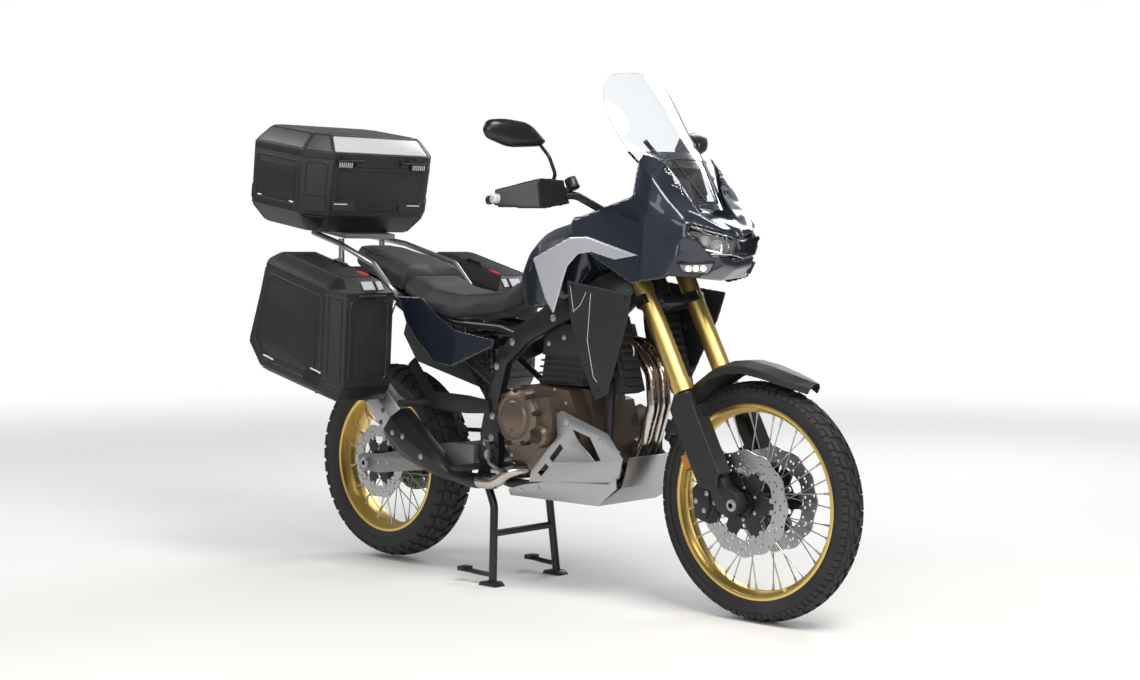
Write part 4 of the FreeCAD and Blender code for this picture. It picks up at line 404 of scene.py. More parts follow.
def make_studio():
    """Pale floor that fades into a white surround, and soft lamps from three sides."""
    f = Finish("floor")
    fade = f.reach(0, 1).step(3.2, 8.5)
    shade = f.blend(f.noise(1.2, 4) * 0.5, (0.78, 0.77, 0.75), (0.82, 0.81, 0.8))
    ground = f.add("ShaderNodeBsdfDiffuse", None, {"Color": shade})
    f.close(f.add("ShaderNodeMixShader", None, [fade, ground, f.add("ShaderNodeBsdfTransparent")]))
    mesh = bpy.data.meshes.new("floor")
    mesh.from_pydata([(12 * cos(a), 12 * sin(a), 0) for a in angles(48)], [], [list(range(48))])
    mesh.materials.append(f.material)
    link(mesh, "floor")

    world = bpy.data.worlds.new("studio")
    world.use_nodes = True
    w = Graph(world.node_tree, "ShaderNodeOutputWorld")
    camera, glossy, clear = (w.add("ShaderNodeLightPath", out=f"Is {ray} Ray")
                             for ray in ("Camera", "Glossy", "Transmission"))
    strength = glossy * (MIRRORED_STRENGTH - WORLD_STRENGTH) + WORLD_STRENGTH
    dim = w.add("ShaderNodeBackground", None, {"Color": (0.9, 0.94, 1.0, 1), "Strength": strength})
    white = w.add("ShaderNodeBackground", None, {"Color": (1, 1, 1, 1), "Strength": 1.0})
    w.close(w.add("ShaderNodeMixShader", None, [camera.op("MAXIMUM", camera, clear), dim, white]))
    bpy.context.scene.world = world

    for name, place, size, power, color in LAMPS:
        data = bpy.data.lights.new(name, "AREA")
        data.shape = "DISK"
        data.size = size
        data.energy = power
        data.color = color
        lamp = link(data, name)
        lamp.location = place
        lamp.rotation_euler = facing(Vector((0, 0, 0.6)) - Vector(place))


def finish_nodes():
    for name, material in NODE_FINISH.items():
        mesh = NODES[name].data
        mesh.materials.clear()
        mesh.materials.append(material)


# Ways of making pieces
def angles(count, start=0.0):
    return [start + 2 * pi * k / count for k in range(count)]


def polar(r, angle, y=0.0):
    """Point at a radius and an angle about the Y axis and a place along it, from millimetres."""
    return Vector((r * cos(angle), y, r * sin(angle))) / 1000


def plain(piece):
    """The piece with its modifiers turned into plain mesh."""
    depsgraph = bpy.context.evaluated_depsgraph_get()
    mesh = bpy.data.meshes.new_from_object(piece.evaluated_get(depsgraph), depsgraph=depsgraph)
    name = piece.name
    bpy.data.objects.remove(piece)
    return link(mesh, name)


@contextmanager
def reworked(mesh):
    work = bmesh.new()
    work.from_mesh(mesh)
    yield work
    work.to_mesh(mesh)
    work.free()


def shaded(mesh, limit):
    """Smooth shading, with edges sharper than limit degrees kept sharp."""
    with reworked(mesh) as work:
        for face in work.faces:
            face.smooth = True
        for edge in work.edges:
            edge.smooth = len(edge.link_faces) == 2 and edge.calc_face_angle(0) < radians(limit)


def modified(piece, kind, **settings):
    modifier = piece.modifiers.new(kind.lower(), kind)
    for key, value in settings.items():
        setattr(modifier, key, value)


def finished(piece, material, body="chassis", replaces=(), limit=35):
    """Applies modifiers, gives the material, and seats the piece on its body."""
    if piece.modifiers:
        piece = plain(piece)
    piece.data.materials.clear()
    piece.data.materials.append(material)
    shaded(piece.data, limit)
    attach(piece, body)
    if replaces:
        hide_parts(*replaces)
    return piece


def joined(name, parts):
    """One mesh object from several (points, faces) parts, doubles merged and normals pointing out."""
    verts, faces = [], []
    for part_verts, part_faces in parts:
        start = len(verts)
        verts += [tuple(v) for v in part_verts]
        faces += [tuple(start + i for i in face) for face in part_faces]
    mesh = bpy.data.meshes.new(name)
    mesh.from_pydata(verts, [], faces)
    with reworked(mesh) as work:
        bmesh.ops.remove_doubles(work, verts=work.verts, dist=1e-6)
        bmesh.ops.recalc_face_normals(work, faces=work.faces)
    return link(mesh, name)


def fit(name, parts, material, body="chassis", replaces=(), limit=35):
    return finished(joined(name, parts), material, body, replaces, limit)


def skin(rows, closed=False, capped=False):
    """Points and faces through rows of points with equal numbers of points."""
    count = len(rows[0])
    verts = [p for row in rows for p in row]
    faces = []
    for i in range(len(rows) - 1):
        for j in range(count if closed else count - 1):
            k = (j + 1) % count
            faces.append((i * count + j, i * count + k, (i + 1) * count + k, (i + 1) * count + j))
    if capped:
        faces.append(tuple(range(count)))
        faces.append(tuple(range((len(rows) - 1) * count, len(rows) * count)))
    return verts, faces


def solid(rings):
    """Closed body through rings of points."""
    return skin(rings, closed=True, capped=True)


def lathe(profile, centre, steps=64):
    """Surface of revolution of (radius, along) points in millimetres about the Y axis through centre."""
    rows = [[centre + polar(r, a, y) for r, y in profile] for a in angles(steps)]
    return skin(rows + rows[:1])


def along_line(a, b, profile, steps=16):
    """Surface of revolution of (radius in millimetres, share of the way) points from a to b."""
    a, b = Vector(a), Vector(b)
    z = (b - a).normalized()
    x = z.orthogonal().normalized()
    y = z.cross(x)
    rows = []
    for r, share in profile:
        rows.append([a.lerp(b, share) + (x * cos(t) + y * sin(t)) * (r / 1000) for t in angles(steps)])
    return solid(rows)


def bar(a, b, r, steps=12):
    return along_line(a, b, [(r, 0), (r, 1)], steps)


def bolt(place, way, r=5.0, h=4.0):
    """Domed screw head with a washer under it, sizes in millimetres."""
    end = place + Vector(way).normalized() * (h / 1000)
    head = [(1.5, 0), (1.5, 0.22), (1, 0.24), (1, 0.8), (0.7, 1), (0.45, 1), (0.42, 0.6)]
    return along_line(place, end, [(r * size, share) for size, share in head], 12)


def curved(start, corner, end, steps):
    """Points on the curve from start to end that bends towards corner."""
    shares = [k / steps for k in range(steps + 1)]
    return [start.lerp(corner, t).lerp(corner.lerp(end, t), t) for t in shares]


def smooth_path(points, bend, steps=8):
    """Straight runs joined by curves of about the radius bend."""
    line = [points[0]]
    for before, here, after in zip(points, points[1:], points[2:]):
        a, b = before - here, after - here
        half = (pi - a.angle(b)) / 2
        if half < 0.02:
            line.append(here)
            continue
        back = min(bend * tan(half), 0.48 * min(a.length, b.length))
        line += curved(here + a.normalized() * back, here, here + b.normalized() * back, steps)
    return line + [points[-1]]


def tube(points, r, bend=0.0, steps=14):
    """Round tube through points; its radius and that of its bends are in millimetres."""
    line = smooth_path(points, bend / 1000) if bend else points
    rows = []
    up = None
    for i, p in enumerate(line):
        ahead = (line[min(i + 1, len(line) - 1)] - line[max(i - 1, 0)]).normalized()
        side = up.cross(ahead) if up else ahead.orthogonal()
        side = (side - ahead * side.dot(ahead)).normalized()
        up = ahead.cross(side)
        rows.append([p + (side * cos(t) + up * sin(t)) * (r / 1000) for t in angles(steps)])
    return solid(rows)


def rounded(points, radius, steps=5):
    """Closed outline with its corners rounded."""
    out = []
    points = [Vector(p) for p in points]
    for before, here, after in zip(points[-1:] + points, points, points[1:] + points[:1]):
        a, b = before - here, after - here
        back = min(radius, 0.45 * a.length, 0.45 * b.length)
        out += curved(here + a.normalized() * back, here, here + b.normalized() * back, steps)
    return out


def circle(away, angle, r, steps):
    """Circle whose middle is away from the origin at an angle."""
    x, y = away * cos(angle), away * sin(angle)
    return [(x + r * cos(t), y + r * sin(t)) for t in angles(steps)]


def waved(radius, depth, lobes, steps):
    """Round outline whose radius swings by depth, lobes times round."""
    sizes = [(a, radius + depth * cos(lobes * a)) for a in angles(lobes * steps)]
    return [(r * cos(a), r * sin(a)) for a, r in sizes]


def flat_part(outlines, thick, chamfer, place):
    """Plate from an outer outline and its holes in millimetres; place seats (u, v, height) in metres."""
    curve = bpy.data.curves.new("flat", "CURVE")
    curve.dimensions = "2D"
    curve.fill_mode = "BOTH"
    curve.extrude = (thick / 2 - chamfer) / 1000
    curve.bevel_depth = chamfer / 1000
    curve.bevel_resolution = 1
    curve.offset = -chamfer / 1000
    for outline in outlines:
        spline = curve.splines.new("POLY")
        spline.points.add(len(outline) - 1)
        for point, (u, v) in zip(spline.points, outline):
            point.co = (u / 1000, v / 1000, 0, 1)
        spline.use_cyclic_u = True
    piece = plain(link(curve, "flat"))
    part = [place(*v.co) for v in piece.data.vertices], [tuple(p.vertices) for p in piece.data.polygons]
    bpy.data.objects.remove(piece)
    return part


def ring_tree():
    """Node tree that repeats a shape round an axis along Y through Hub."""
    tree = bpy.data.node_groups.new("repeat_round_hub", "GeometryNodeTree")
    kinds = {"Shape": "Geometry", "Count": "Int", "Hub": "Vector", "Finish": "Material"}
    for name, kind in kinds.items():
        tree.interface.new_socket(name, in_out="INPUT", socket_type="NodeSocket" + kind)
    tree.interface.new_socket("Shape", in_out="OUTPUT", socket_type="NodeSocketGeometry")
    g = Graph(tree, "NodeGroupOutput")
    shape, count, hub, finish = (g.add("NodeGroupInput", out=name) for name in kinds)
    turn = g.add("GeometryNodeInputIndex") / count * (2 * pi)
    places = g.add("GeometryNodePoints", None, {"Count": count})
    turn = g.add("ShaderNodeCombineXYZ", None, {"Y": turn})
    spread = {"Points": places, "Instance": shape, "Rotation": turn}
    real = g.add("GeometryNodeRealizeInstances", None, [g.add("GeometryNodeInstanceOnPoints", None, spread)])
    moved = g.add("GeometryNodeTransform", None, {"Geometry": real, "Translation": hub})
    g.close(g.add("GeometryNodeSetMaterial", None, {"Geometry": moved, "Material": finish}))
    return tree


RING_TREE = ring_tree()


def repeated(name, parts, count, hub, material):
    """The parts, drawn round the origin, repeated count times round a hub as one plain mesh."""
    piece = joined(name, parts)
    shaded(piece.data, 40)
    modifier = piece.modifiers.new("ring", "NODES")
    modifier.node_group = RING_TREE
    values = {"Count": count, "Hub": tuple(hub), "Finish": material}
    for item in RING_TREE.interface.items_tree:
        if item.in_out == "INPUT" and item.name in values:
            modifier[item.identifier] = values[item.name]
    return plain(piece)


def both_halves(section):
    """Closed profile from the half of it on one side of the middle."""
    return section + [(r, -y) for r, y in reversed(section)] + section[:1]


# Wheels and tyres, sizes in millimetres
class Wheel:
    """One wheel's tyre and rim sizes, and the pieces made from them."""

    def __init__(self, end, hub, size, width, rim_size, rim_width, rubber):
        self.end, self.hub, self.rubber = end, hub, rubber
        self.size, self.half = size, width / 2
        self.rim_size, self.rim_half = rim_size, rim_width / 2
        self.drop = 0.105 * width + 12

    def fit(self, name, parts, material, node=None, limit=35):
        replaces = [f"{self.end}_{node}"] if node else ()
        fit(f"{self.end}_{name}", parts, material, self.end + "_wheel", replaces, limit)

    def ring(self, name, parts, count, material):
        piece = repeated(f"{self.end}_{name}", parts, count, self.hub, material)
        finished(piece, material, self.end + "_wheel")

    def height(self, y):
        """Radius of the tread's surface at y across the tyre."""
        return self.size - self.drop * (abs(y) / self.half) ** 2.2

    def carcass(self, depth):
        """Tyre with its beads, ribs on its walls and the floor of its tread."""
        half, rim, rim_half = self.half, self.rim_size, self.rim_half
        crown = [(self.height(y) - depth, y) for y in [half * 0.93 * k / 7 for k in range(8)]]
        edge = crown[-1][0]
        side = crown + [
            (edge - 7, half * 0.985), (edge - 9, half * 0.993), (edge - 10.5, half * 0.98),
            (edge - 22, half * 0.97), (rim + 22, half * 0.9), (rim + 20.5, half * 0.905),
            (rim + 19, half * 0.885), (rim + 6, rim_half + 4), (rim + 1, rim_half - 2),
            (rim - 4, rim_half - 8)]
        profile = [(r, -y) for r, y in reversed(side)] + side[1:] + [(rim - 1, 0), (rim - 4, 8 - rim_half)]
        self.fit("tyre_carcass", [lathe(profile, self.hub, 120)], self.rubber, "tyre", 50)

    def block(self, depth, y0, y1, a0, a1, skew):
        """Tread block with sloped edges between two places across and two angles round the tyre."""
        edge = 1.1
        small = edge / self.size
        rows = []
        for i, y in enumerate([y0, y0 + edge, (2 * y0 + y1) / 3, (y0 + 2 * y1) / 3, y1 - edge, y1]):
            low = self.height(y) - depth
            high = self.height(y) - (edge if i in (0, 5) else 0)
            turn = skew * (y - y0) / (y1 - y0)
            ring = [(a0 - 0.4 * small, low), (a0, high - edge), (a0 + small, high),
                    (a1 - small, high), (a1, high - edge), (a1 + 0.4 * small, low)]
            rows.append([polar(r, a + turn, y) for a, r in ring])
        return solid(rows)

    def tread(self, rows, pitches, depth):
        """Rows of blocks: inner and outer edge as shares of the half width, then start, end and skew
        as shares of a pitch."""
        pitch = 2 * pi / pitches
        parts = []
        for inner, outer, start, end, skew in rows:
            y0, y1, a0, a1 = inner * self.half, outer * self.half, start * pitch, end * pitch
            shift = (0.5 + skew) * pitch
            parts.append(self.block(depth, y0, y1, a0, a1, skew * pitch))
            parts.append(self.block(depth, -y1, -y0, a0 + shift, a1 + shift, -skew * pitch))
        self.ring("tread_blocks", parts, pitches, self.rubber)

    def rim(self):
        """Gold rim with rolled edges, a raised middle bed and a drop centre."""
        half, size, deep = self.rim_half, self.rim_size, self.rim_size - 24
        section = [
            (size - 14, half * 0.35), (size - 4, half * 0.55), (size - 2, half - 7), (size + 2.5, half - 4),
            (size + 2.5, half - 1), (size, half), (size - 6, half), (size - 10, half - 1.5),
            (size - 11.5, half * 0.72), (deep + 4, half * 0.42), (deep + 1, half * 0.34), (deep, half * 0.2)]
        self.fit("rim_ring", [lathe(both_halves(section), self.hub, 144)], GOLD_RIM, "rim", 30)

    def spokes(self, flange_r, flange_y, rim_r, rim_y, twist):
        """Crossed spokes with a nipple at the rim, a ninth of the wheel repeated round the hub."""
        nipple = [(1.9, 0), (3.2, 0.05), (3.2, 0.7), (4.5, 0.76), (4.5, 1)]
        parts = []
        for k, (side, lean) in enumerate(((1, 1), (-1, 1), (1, -1), (-1, -1))):
            end = 2 * pi * k / 36
            a, b = polar(flange_r, end + lean * twist, side * flange_y), polar(rim_r, end, side * rim_y)
            way = (b - a).normalized() / 1000
            parts.append(bar(a - way * 4, b, 1.9, 8))
            parts.append(along_line(b - way * 19, b + way * 2, nipple, 8))
            parts.append(along_line(a - way * 6, a - way, [(1.6, 0), (4.2, 0.3), (4.2, 0.7), (2, 1)], 8))
        self.ring("spokes", parts, 9, STEEL)

    def disc(self, name, y, size, lobes, material, node, bore):
        """Brake disc with a waved edge and drilled holes, its dark carrier and the buttons between."""
        inner = size * 0.66
        side = Vector((0, 1 if y > 0 else -1, 0))

        def place(u, v, w):
            return self.hub + Vector((u, y / 1000 + w, v))

        holes = []
        for k, a in enumerate(angles(lobes * 2, pi / (lobes * 2))):
            for share, shift in ((0.2, 0.0), (0.5, 0.09), (0.79, -0.02)):
                away = inner + (size - inner) * share
                holes.append(circle(away, a + shift * (1 if k % 2 else -1), 3.8, 12))
        outlines = [waved(size - 3.2, 3.2, lobes, 20), waved(inner + 2, 2, lobes, 16)] + holes
        self.fit(name, [flat_part(outlines, 4.5, 0.4, place)], material, node, 15)
        arms = []
        for a in angles(144):
            r = inner * (0.72 + 0.265 * min(1, max(0, (0.2 + 0.5 * cos(6 * a)) / 0.4)))
            arms.append((r * cos(a), r * sin(a)))
        holes = [circle(0, 0, bore, 40)] + [circle(inner * 0.62, a, 8, 14) for a in angles(6, pi / 6)]
        self.fit(name + "_carrier", [flat_part([arms] + holes, 6, 0.8, place)], BLACK_METAL, None, 15)
        buttons = []
        button = [(3, 0), (7.5, 0), (7.8, 0.1), (7.8, 0.9), (7.5, 1), (3, 1)]
        for a in angles(6):
            for off in (-0.16, 0.16):
                ends = (self.hub + polar(inner * 0.985, a + off, y + w) for w in (-4.2, 4.2))
                buttons.append(along_line(*ends, button, 14))
            p = self.hub + polar(bore * 1.14, a + 0.5, y) + side * 0.0028
            buttons.append(bolt(p, side, 4, 3.5))
        self.fit(name + "_buttons", buttons, STEEL)

    def centre(self, section):
        """Turned hub with its flanges and disc seats, from (radius, across) points."""
        self.fit("hub_body", [lathe(section, self.hub, 72)], BLACK_METAL, "hub")


def wheels():
    front = Wheel("front", FRONT_HUB, 347, 94, 281, 68, FRONT_RUBBER)
    rear = Wheel("rear", REAR_HUB, 333, 150, 243, 116, REAR_RUBBER)
    front.carcass(6.2)
    rear.carcass(7.5)
    front.tread([(0.03, 0.36, 0.04, 0.60, 0.22), (0.42, 0.70, 0.20, 0.86, 0.16),
                 (0.76, 0.985, 0.05, 0.44, 0.0), (0.76, 0.985, 0.54, 0.93, 0.0)], 46, 6.6)
    rear.tread([(0.03, 0.40, 0.05, 0.62, 0.20), (0.46, 0.72, 0.18, 0.82, 0.14),
                (0.78, 0.985, 0.06, 0.80, 0.0)], 40, 8)
    for wheel in (front, rear):
        wheel.rim()
    front.spokes(43, 34, 256.5, 10, radians(28))
    rear.spokes(57, 42, 218.5, 20, radians(30))
    for side, name in SIDES:
        front.disc("disc_" + name, side * 70, 155, 12, FRONT_DISC_METAL, "discs", 40)
    rear.disc("disc_ring", -78, 128, 10, REAR_DISC_METAL, "disc", 38)
    front.centre(both_halves([(26, 22), (48, 28), (48, 40), (30, 44), (58, 59), (58, 67.4), (33, 67.4),
                              (33, 79), (12.1, 79)]))
    rear.centre([(30, -96), (30, -75.4), (50, -75.4), (50, -66.7), (32, -54), (62, -48), (62, -36),
                 (34, -26), (34, 26), (62, 36), (62, 48), (48, 54), (74, 67), (74, 84.9), (32, 84.9),
                 (32, 98), (12.6, 98), (12.6, -96), (30, -96)])


# Bodywork and castings
def copy_of(node, name):
    """Merged copy of a CAD node's mesh, ready for modifiers."""
    mesh = NODES[node].data.copy()
    with reworked(mesh) as work:
        bmesh.ops.remove_doubles(work, verts=work.verts, dist=1e-5)
        bmesh.ops.dissolve_limit(work, angle_limit=radians(0.5), verts=work.verts, edges=work.edges)
    return link(mesh, name)


def softened(node, name, material, body, grain, rounds):
    """Copy of a node with its edges rounded by a fine remesh, grain millimetres wide, and smoothing."""
    piece = copy_of(node, name)
    modified(piece, "REMESH", mode="VOXEL", voxel_size=grain / 1000, use_smooth_shade=True)
    modified(piece, "SMOOTH", factor=0.5, iterations=rounds)
    return finished(piece, material, body, [node], 60)


def edged(node, name, material, body="chassis", width=2.0, segments=2, limit=30):
    """Copy of a node with edges sharper than limit degrees bevelled, width in millimetres."""
    piece = copy_of(node, name)
    modified(piece, "BEVEL", width=width / 1000, segments=segments, limit_method="ANGLE",
             angle_limit=radians(limit), harden_normals=False, use_clamp_overlap=True)
    return finished(piece, material, body, [node])


# Shells with soft edges: node, piece, finish, body, grain, rounds of smoothing
SHELLS = [
    ("front_cowl", "cowl_shell", NAVY, "chassis", 4.2, 12),
    ("fuel_tank", "tank_shell", NAVY, "chassis", 6, 16),
    ("tank_panels", "silver_panels", SILVER, "chassis", 2.8, 6),
    ("side_shrouds", "shroud_shells", BLACK_PLASTIC, "chassis", 3.2, 6),
    ("side_covers", "cover_shells", NAVY, "chassis", 3, 8),
    ("front_fender", "fender_shell", BLACK_PLASTIC, "steering", 3, 10),
    ("fork_guards", "guard_shells", BLACK_PLASTIC, "steering", 3, 8),
    ("handguards", "handguard_shells", SMOOTH_PLASTIC, "steering", 3.2, 22),
]


# Lines and places found on a surface
def tree_of(piece):
    return BVHTree.FromObject(piece, bpy.context.evaluated_depsgraph_get())


def cast_onto(tree, start, way, rise=0.0):
    """Where a line from start along way meets a surface, lifted a little off it, and the normal there."""
    way = Vector(way).normalized()
    place, normal = tree.ray_cast(start, way)[:2]
    if place is None:
        return None
    if normal.dot(way) > 0:
        normal = -normal
    return place + normal * rise, normal


def laid_line(tree, starts, way, r, steps):
    """Thin cord on a surface below the starts; a start that misses the surface is passed over."""
    hits = [cast_onto(tree, start, way, 0.0002) for start in starts]
    return tube([hit[0] for hit in hits if hit], r, 0, steps)


def legs(route, count, steps):
    """Places on each leg of a route, count of them, each a step further."""
    return [[p + (q - p) * k / steps for p, q in zip(a, b)]
            for a, b in zip(route, route[1:]) for k in range(count)]


# Seats
STUFFING_PRESSURE = 4.0
SWELL_LIMIT = 0.006
# Lines of the seats' piping: ahead of the rear axle, across, in millimetres
SEAMS = {
    "rider_seat": [(650, 44), (600, 64), (520, 86), (440, 98), (360, 106), (300, 110), (214, 106)],
    "passenger_seat": [(186, 112), (100, 108), (30, 100), (-40, 92), (-96, 72)],
}


def swollen(piece, limit):
    """Cloth pressed out from inside, each point kept within limit of its start."""
    start = [v.co.copy() for v in piece.data.vertices]
    cloth = piece.modifiers.new("cloth", "CLOTH").settings
    cloth.quality = 4
    cloth.mass = 0.3
    cloth.tension_stiffness = 30
    cloth.compression_stiffness = 30
    cloth.bending_stiffness = 12
    cloth.use_pressure = True
    cloth.uniform_pressure_force = STUFFING_PRESSURE
    cloth.effector_weights.gravity = 0
    for step in range(1, 21):
        bpy.context.scene.frame_set(step)
    piece = plain(piece)
    for vertex, was in zip(piece.data.vertices, start):
        move = vertex.co - was
        if move.length > limit:
            vertex.co = was + move * (limit / move.length)
    bpy.context.scene.frame_set(1)
    return piece


def cushion(node):
    piece = copy_of(node, node + "_cover")
    modified(piece, "REMESH", mode="VOXEL", voxel_size=0.0055)
    modified(piece, "SMOOTH", factor=0.5, iterations=14)
    modified(piece, "DISPLACE", direction="NORMAL", mid_level=0.0, strength=-0.004)
    piece = plain(piece)
    piece = swollen(piece, SWELL_LIMIT)
    modified(piece, "SMOOTH", factor=0.5, iterations=16)
    modified(piece, "SUBSURF", levels=1, render_levels=1)
    piece = finished(piece, SEAT, "chassis", [node], 70)
    return piece


def seats():
    piping = []
    for node, seam in SEAMS.items():
        tree = tree_of(cushion(node))
        for side in (-1, 1):
            starts = [at(x, side * y, 1400) for x, y in legs(seam, 12, 12)]
            piping.append(laid_line(tree, starts, (0, 0, -1), 1.4, 8))
    fit("seat_piping", piping, SMOOTH_PLASTIC)


# Flat panels on sloped faces
def inset_points(points, distance):
    """Convex outline moved inwards by a distance."""
    points = [Vector(p) for p in points]
    area = sum(a.x * b.y - b.x * a.y for a, b in zip(points, points[1:] + points[:1]))
    turn = 1 if area > 0 else -1
    out = []
    for before, here, after in zip(points[-1:] + points, points, points[1:] + points[:1]):
        sides = [(here - before).normalized(), (after - here).normalized()]
        n1, n2 = (Vector((-d.y, d.x)) * turn for d in sides)
        out.append(here + (n1 + n2) * (distance / (1 + n1.dot(n2))))
    return out


class Face:
    """Flat place on a piece, measured in millimetres across, up and out from its middle."""

    def __init__(self, corners, hint):
        self.origin = sum(corners, Vector()) / len(corners)
        self.across = (corners[1] - corners[0]).normalized()
        self.normal = self.across.cross(corners[2] - corners[1]).normalized()
        if self.normal.dot(Vector(hint)) < 0:
            self.normal.negate()
        self.up = self.normal.cross(self.across)
        self.outline = [self.place(c) for c in corners]

    def place(self, point):
        """Millimetres across and up of a point on the face."""
        away = (point - self.origin) * 1000
        return away.dot(self.across), away.dot(self.up)

    def point(self, u, v, out=0.0):
        return self.origin + (self.across * u + self.up * v + self.normal * out) / 1000

    def near(self, corner, inward):
        """Place a step inwards from one of the face's corners."""
        d = Vector(self.place(corner))
        return d - d.normalized() * inward

    def ring(self, outline, out, radius, steps=5):
        return [self.point(p.x, p.y, out) for p in rounded(outline, radius, steps)]

    def rib(self, start, wide, high, radius=12):
        """Raised frame round the face, from start inside its edge."""
        steps = ((start, -0.4), (start + high, high), (start + wide - high, high), (start + wide, -0.4))
        rings = [self.ring(inset_points(self.outline, d), out, max(radius - d * 0.2, 3)) for d, out in steps]
        return skin(rings + rings[:1], closed=True)

    def plate(self, start, high, radius=10, slope=2):
        """Raised panel with sloped edges, from start inside the face's edge."""
        steps = ((start, -0.4), (start + slope * 0.3, high * 0.75), (start + slope, high))
        rings = [self.ring(inset_points(self.outline, d), out, radius) for d, out in steps]
        return solid(rings)

    def pad(self, u, v, half_u, half_v, high, radius=4, lean=0.0):
        """Small raised block on the face, centred at u, v."""
        c, s = cos(lean), sin(lean)
        rings = []
        for shrink, out in ((0, -0.6), (0.3, high * 0.7), (1.4, high)):
            a, b = half_u - shrink, half_v - shrink
            corners = [(u + x * c - y * s, v + x * s + y * c)
                       for x, y in ((-a, -b), (a, -b), (a, b), (-a, b))]
            rings.append(self.ring(corners, out, radius, 3))
        return solid(rings)

    def dish(self, u, v, profile):
        """Surface of revolution of (radius, height) points standing on the face at u, v."""
        rows = [[self.point(u + r * cos(a), v + r * sin(a), out) for a in angles(28)] for r, out in profile]
        return solid(rows)


def band(low, high, inside):
    """Faces between two outlines, looking away from a point inside."""
    corners = zip(low, low[1:] + low[:1], high[1:] + high[:1], high)
    return [Face(four, sum(four, Vector()) / 4 - inside) for four in corners]


# Cases, sizes in millimetres
CASE_TILT = radians(9.5)
TOP_CASE_FRONT = at(-101, 0, 1185)
TOP_LENGTH, TOP_HALF, TOP_CUT_X, TOP_CUT_Y = 415, 290, 72, 75
TOP_SEAM, TOP_LIP, TOP_ROOF, TOP_DROP = 190, 24, 271, 64
ROOF_INSET, LOW_INSET = 52, 6
# Side case outlines in side view: at the inner part and on the outer face
SIDE_FULL = [(-140, 1031), (262, 920), (243, 628), (212, 580), (-160, 668), (-232, 765)]
SIDE_OUTER = [(-94, 1018.3), (215, 933), (197, 655), (172, 618), (-130, 690), (-190, 775)]
SIDE_IN_Y, SIDE_OUT_Y, SIDE_BEVEL, SIDE_LID_H = 238, 480, 46, 46
SIDE_MID_Y = SIDE_OUT_Y - SIDE_BEVEL


def in_top_case(x, y, z):
    """Point in the top case's own frame, from its front edge at the bottom."""
    c, s = cos(CASE_TILT), sin(CASE_TILT)
    return TOP_CASE_FRONT + Vector((x * c + z * s, y, -x * s + z * c)) / 1000


def top_ring(inset_by, z):
    """Corners of the top case's eight-sided outline, from the right front corner round."""
    k = inset_by * 0.4142
    x0, x1, h = -TOP_LENGTH + inset_by, -inset_by, TOP_HALF - inset_by
    cx, cy = TOP_CUT_X - inset_by + k, TOP_CUT_Y - inset_by + k
    corners = [(x1, -h + cy), (x1, h - cy), (x1 - cx, h), (x0 + cx, h),
               (x0, h - cy), (x0, -h + cy), (x0 + cx, -h), (x1 - cx, -h)]
    return [in_top_case(x, y, z) for x, y in corners]


def top_faces(low_inset, low, high_inset, high):
    inside = in_top_case(-TOP_LENGTH / 2, 0, (low + high) / 2)
    return band(top_ring(low_inset, low), top_ring(high_inset, high), inside)


def top_case():
    edged("top_case_body", "top_case_shell", CASE_PLASTIC, "chassis", 5, 3)
    edged("top_case_lid", "top_case_cover", CASE_PLASTIC, "top_case_lid", 5, 3)
    walls = top_faces(LOW_INSET, 4, 0, TOP_SEAM)
    bevels = top_faces(0, TOP_SEAM + TOP_LIP, ROOF_INSET, TOP_ROOF)
    feet = top_faces(62, -TOP_DROP, LOW_INSET, 0)
    lip = top_faces(0, TOP_SEAM + 3, 0, TOP_SEAM + TOP_LIP - 3)
    roof = Face(top_ring(ROOF_INSET, TOP_ROOF), in_top_case(0, 0, 1) - in_top_case(0, 0, 0))
    flats, corners, both = (0, 2, 4, 6), (1, 3, 5, 7), (-1, 1)
    panels = [walls[i].rib(14, 8, 2.4) for i in flats] + [walls[i].rib(12, 6, 2) for i in corners]
    panels += [walls[i].plate(34, 2) for i in flats]
    fit("top_case_panels", panels, CASE_PLASTIC)
    guards = [walls[i].pad(0, -60, 40, 26, 5, 10) for i in corners] + [feet[i].plate(6, 5) for i in corners]
    guards += [walls[0].pad(s * 150, -62, 50, 18, 4, 8) for s in both]
    fit("top_case_guards", guards, SMOOTH_PLASTIC)
    plates = [bevels[i].plate(7, 2.2, 6) for i in (2, 4, 6)] + [bevels[i].plate(6, 2.2, 6) for i in corners]
    fit("top_lid_panels", plates + [roof.rib(12, 8, 3), roof.plate(45, 3)], GREY_PLASTIC, "top_case_lid")
    fit("top_lid_front_panel", [bevels[0].plate(6, 3, 6)], LID_SILVER, "top_case_lid")
    fit("top_case_clips", [walls[0].pad(s * 165, 80, 34, 13, 8, 4) for s in both], SMOOTH_PLASTIC)
    ribs = [walls[0].pad(s * 165 + (k - 3) * 8.8, 80, 2.1, 9.5, 10.5, 1) for s in both for k in range(7)]
    fit("top_case_clip_ribs", ribs, LID_SILVER)
    fit("top_lid_catches", [lip[0].pad(s * 165, 0, 22, 7, 6, 3) for s in both], BLACK_METAL, "top_case_lid")
    marks = [walls[i].pad(s * 165, -56, 30, 2.8, 4.8, 1) for i in (0, 4) for s in both]
    marks += [walls[i].pad(s * 90, -66, 11, 2.6, 3, 1) for i in (2, 6) for s in both]
    fit("top_case_marks", marks, WHITE)


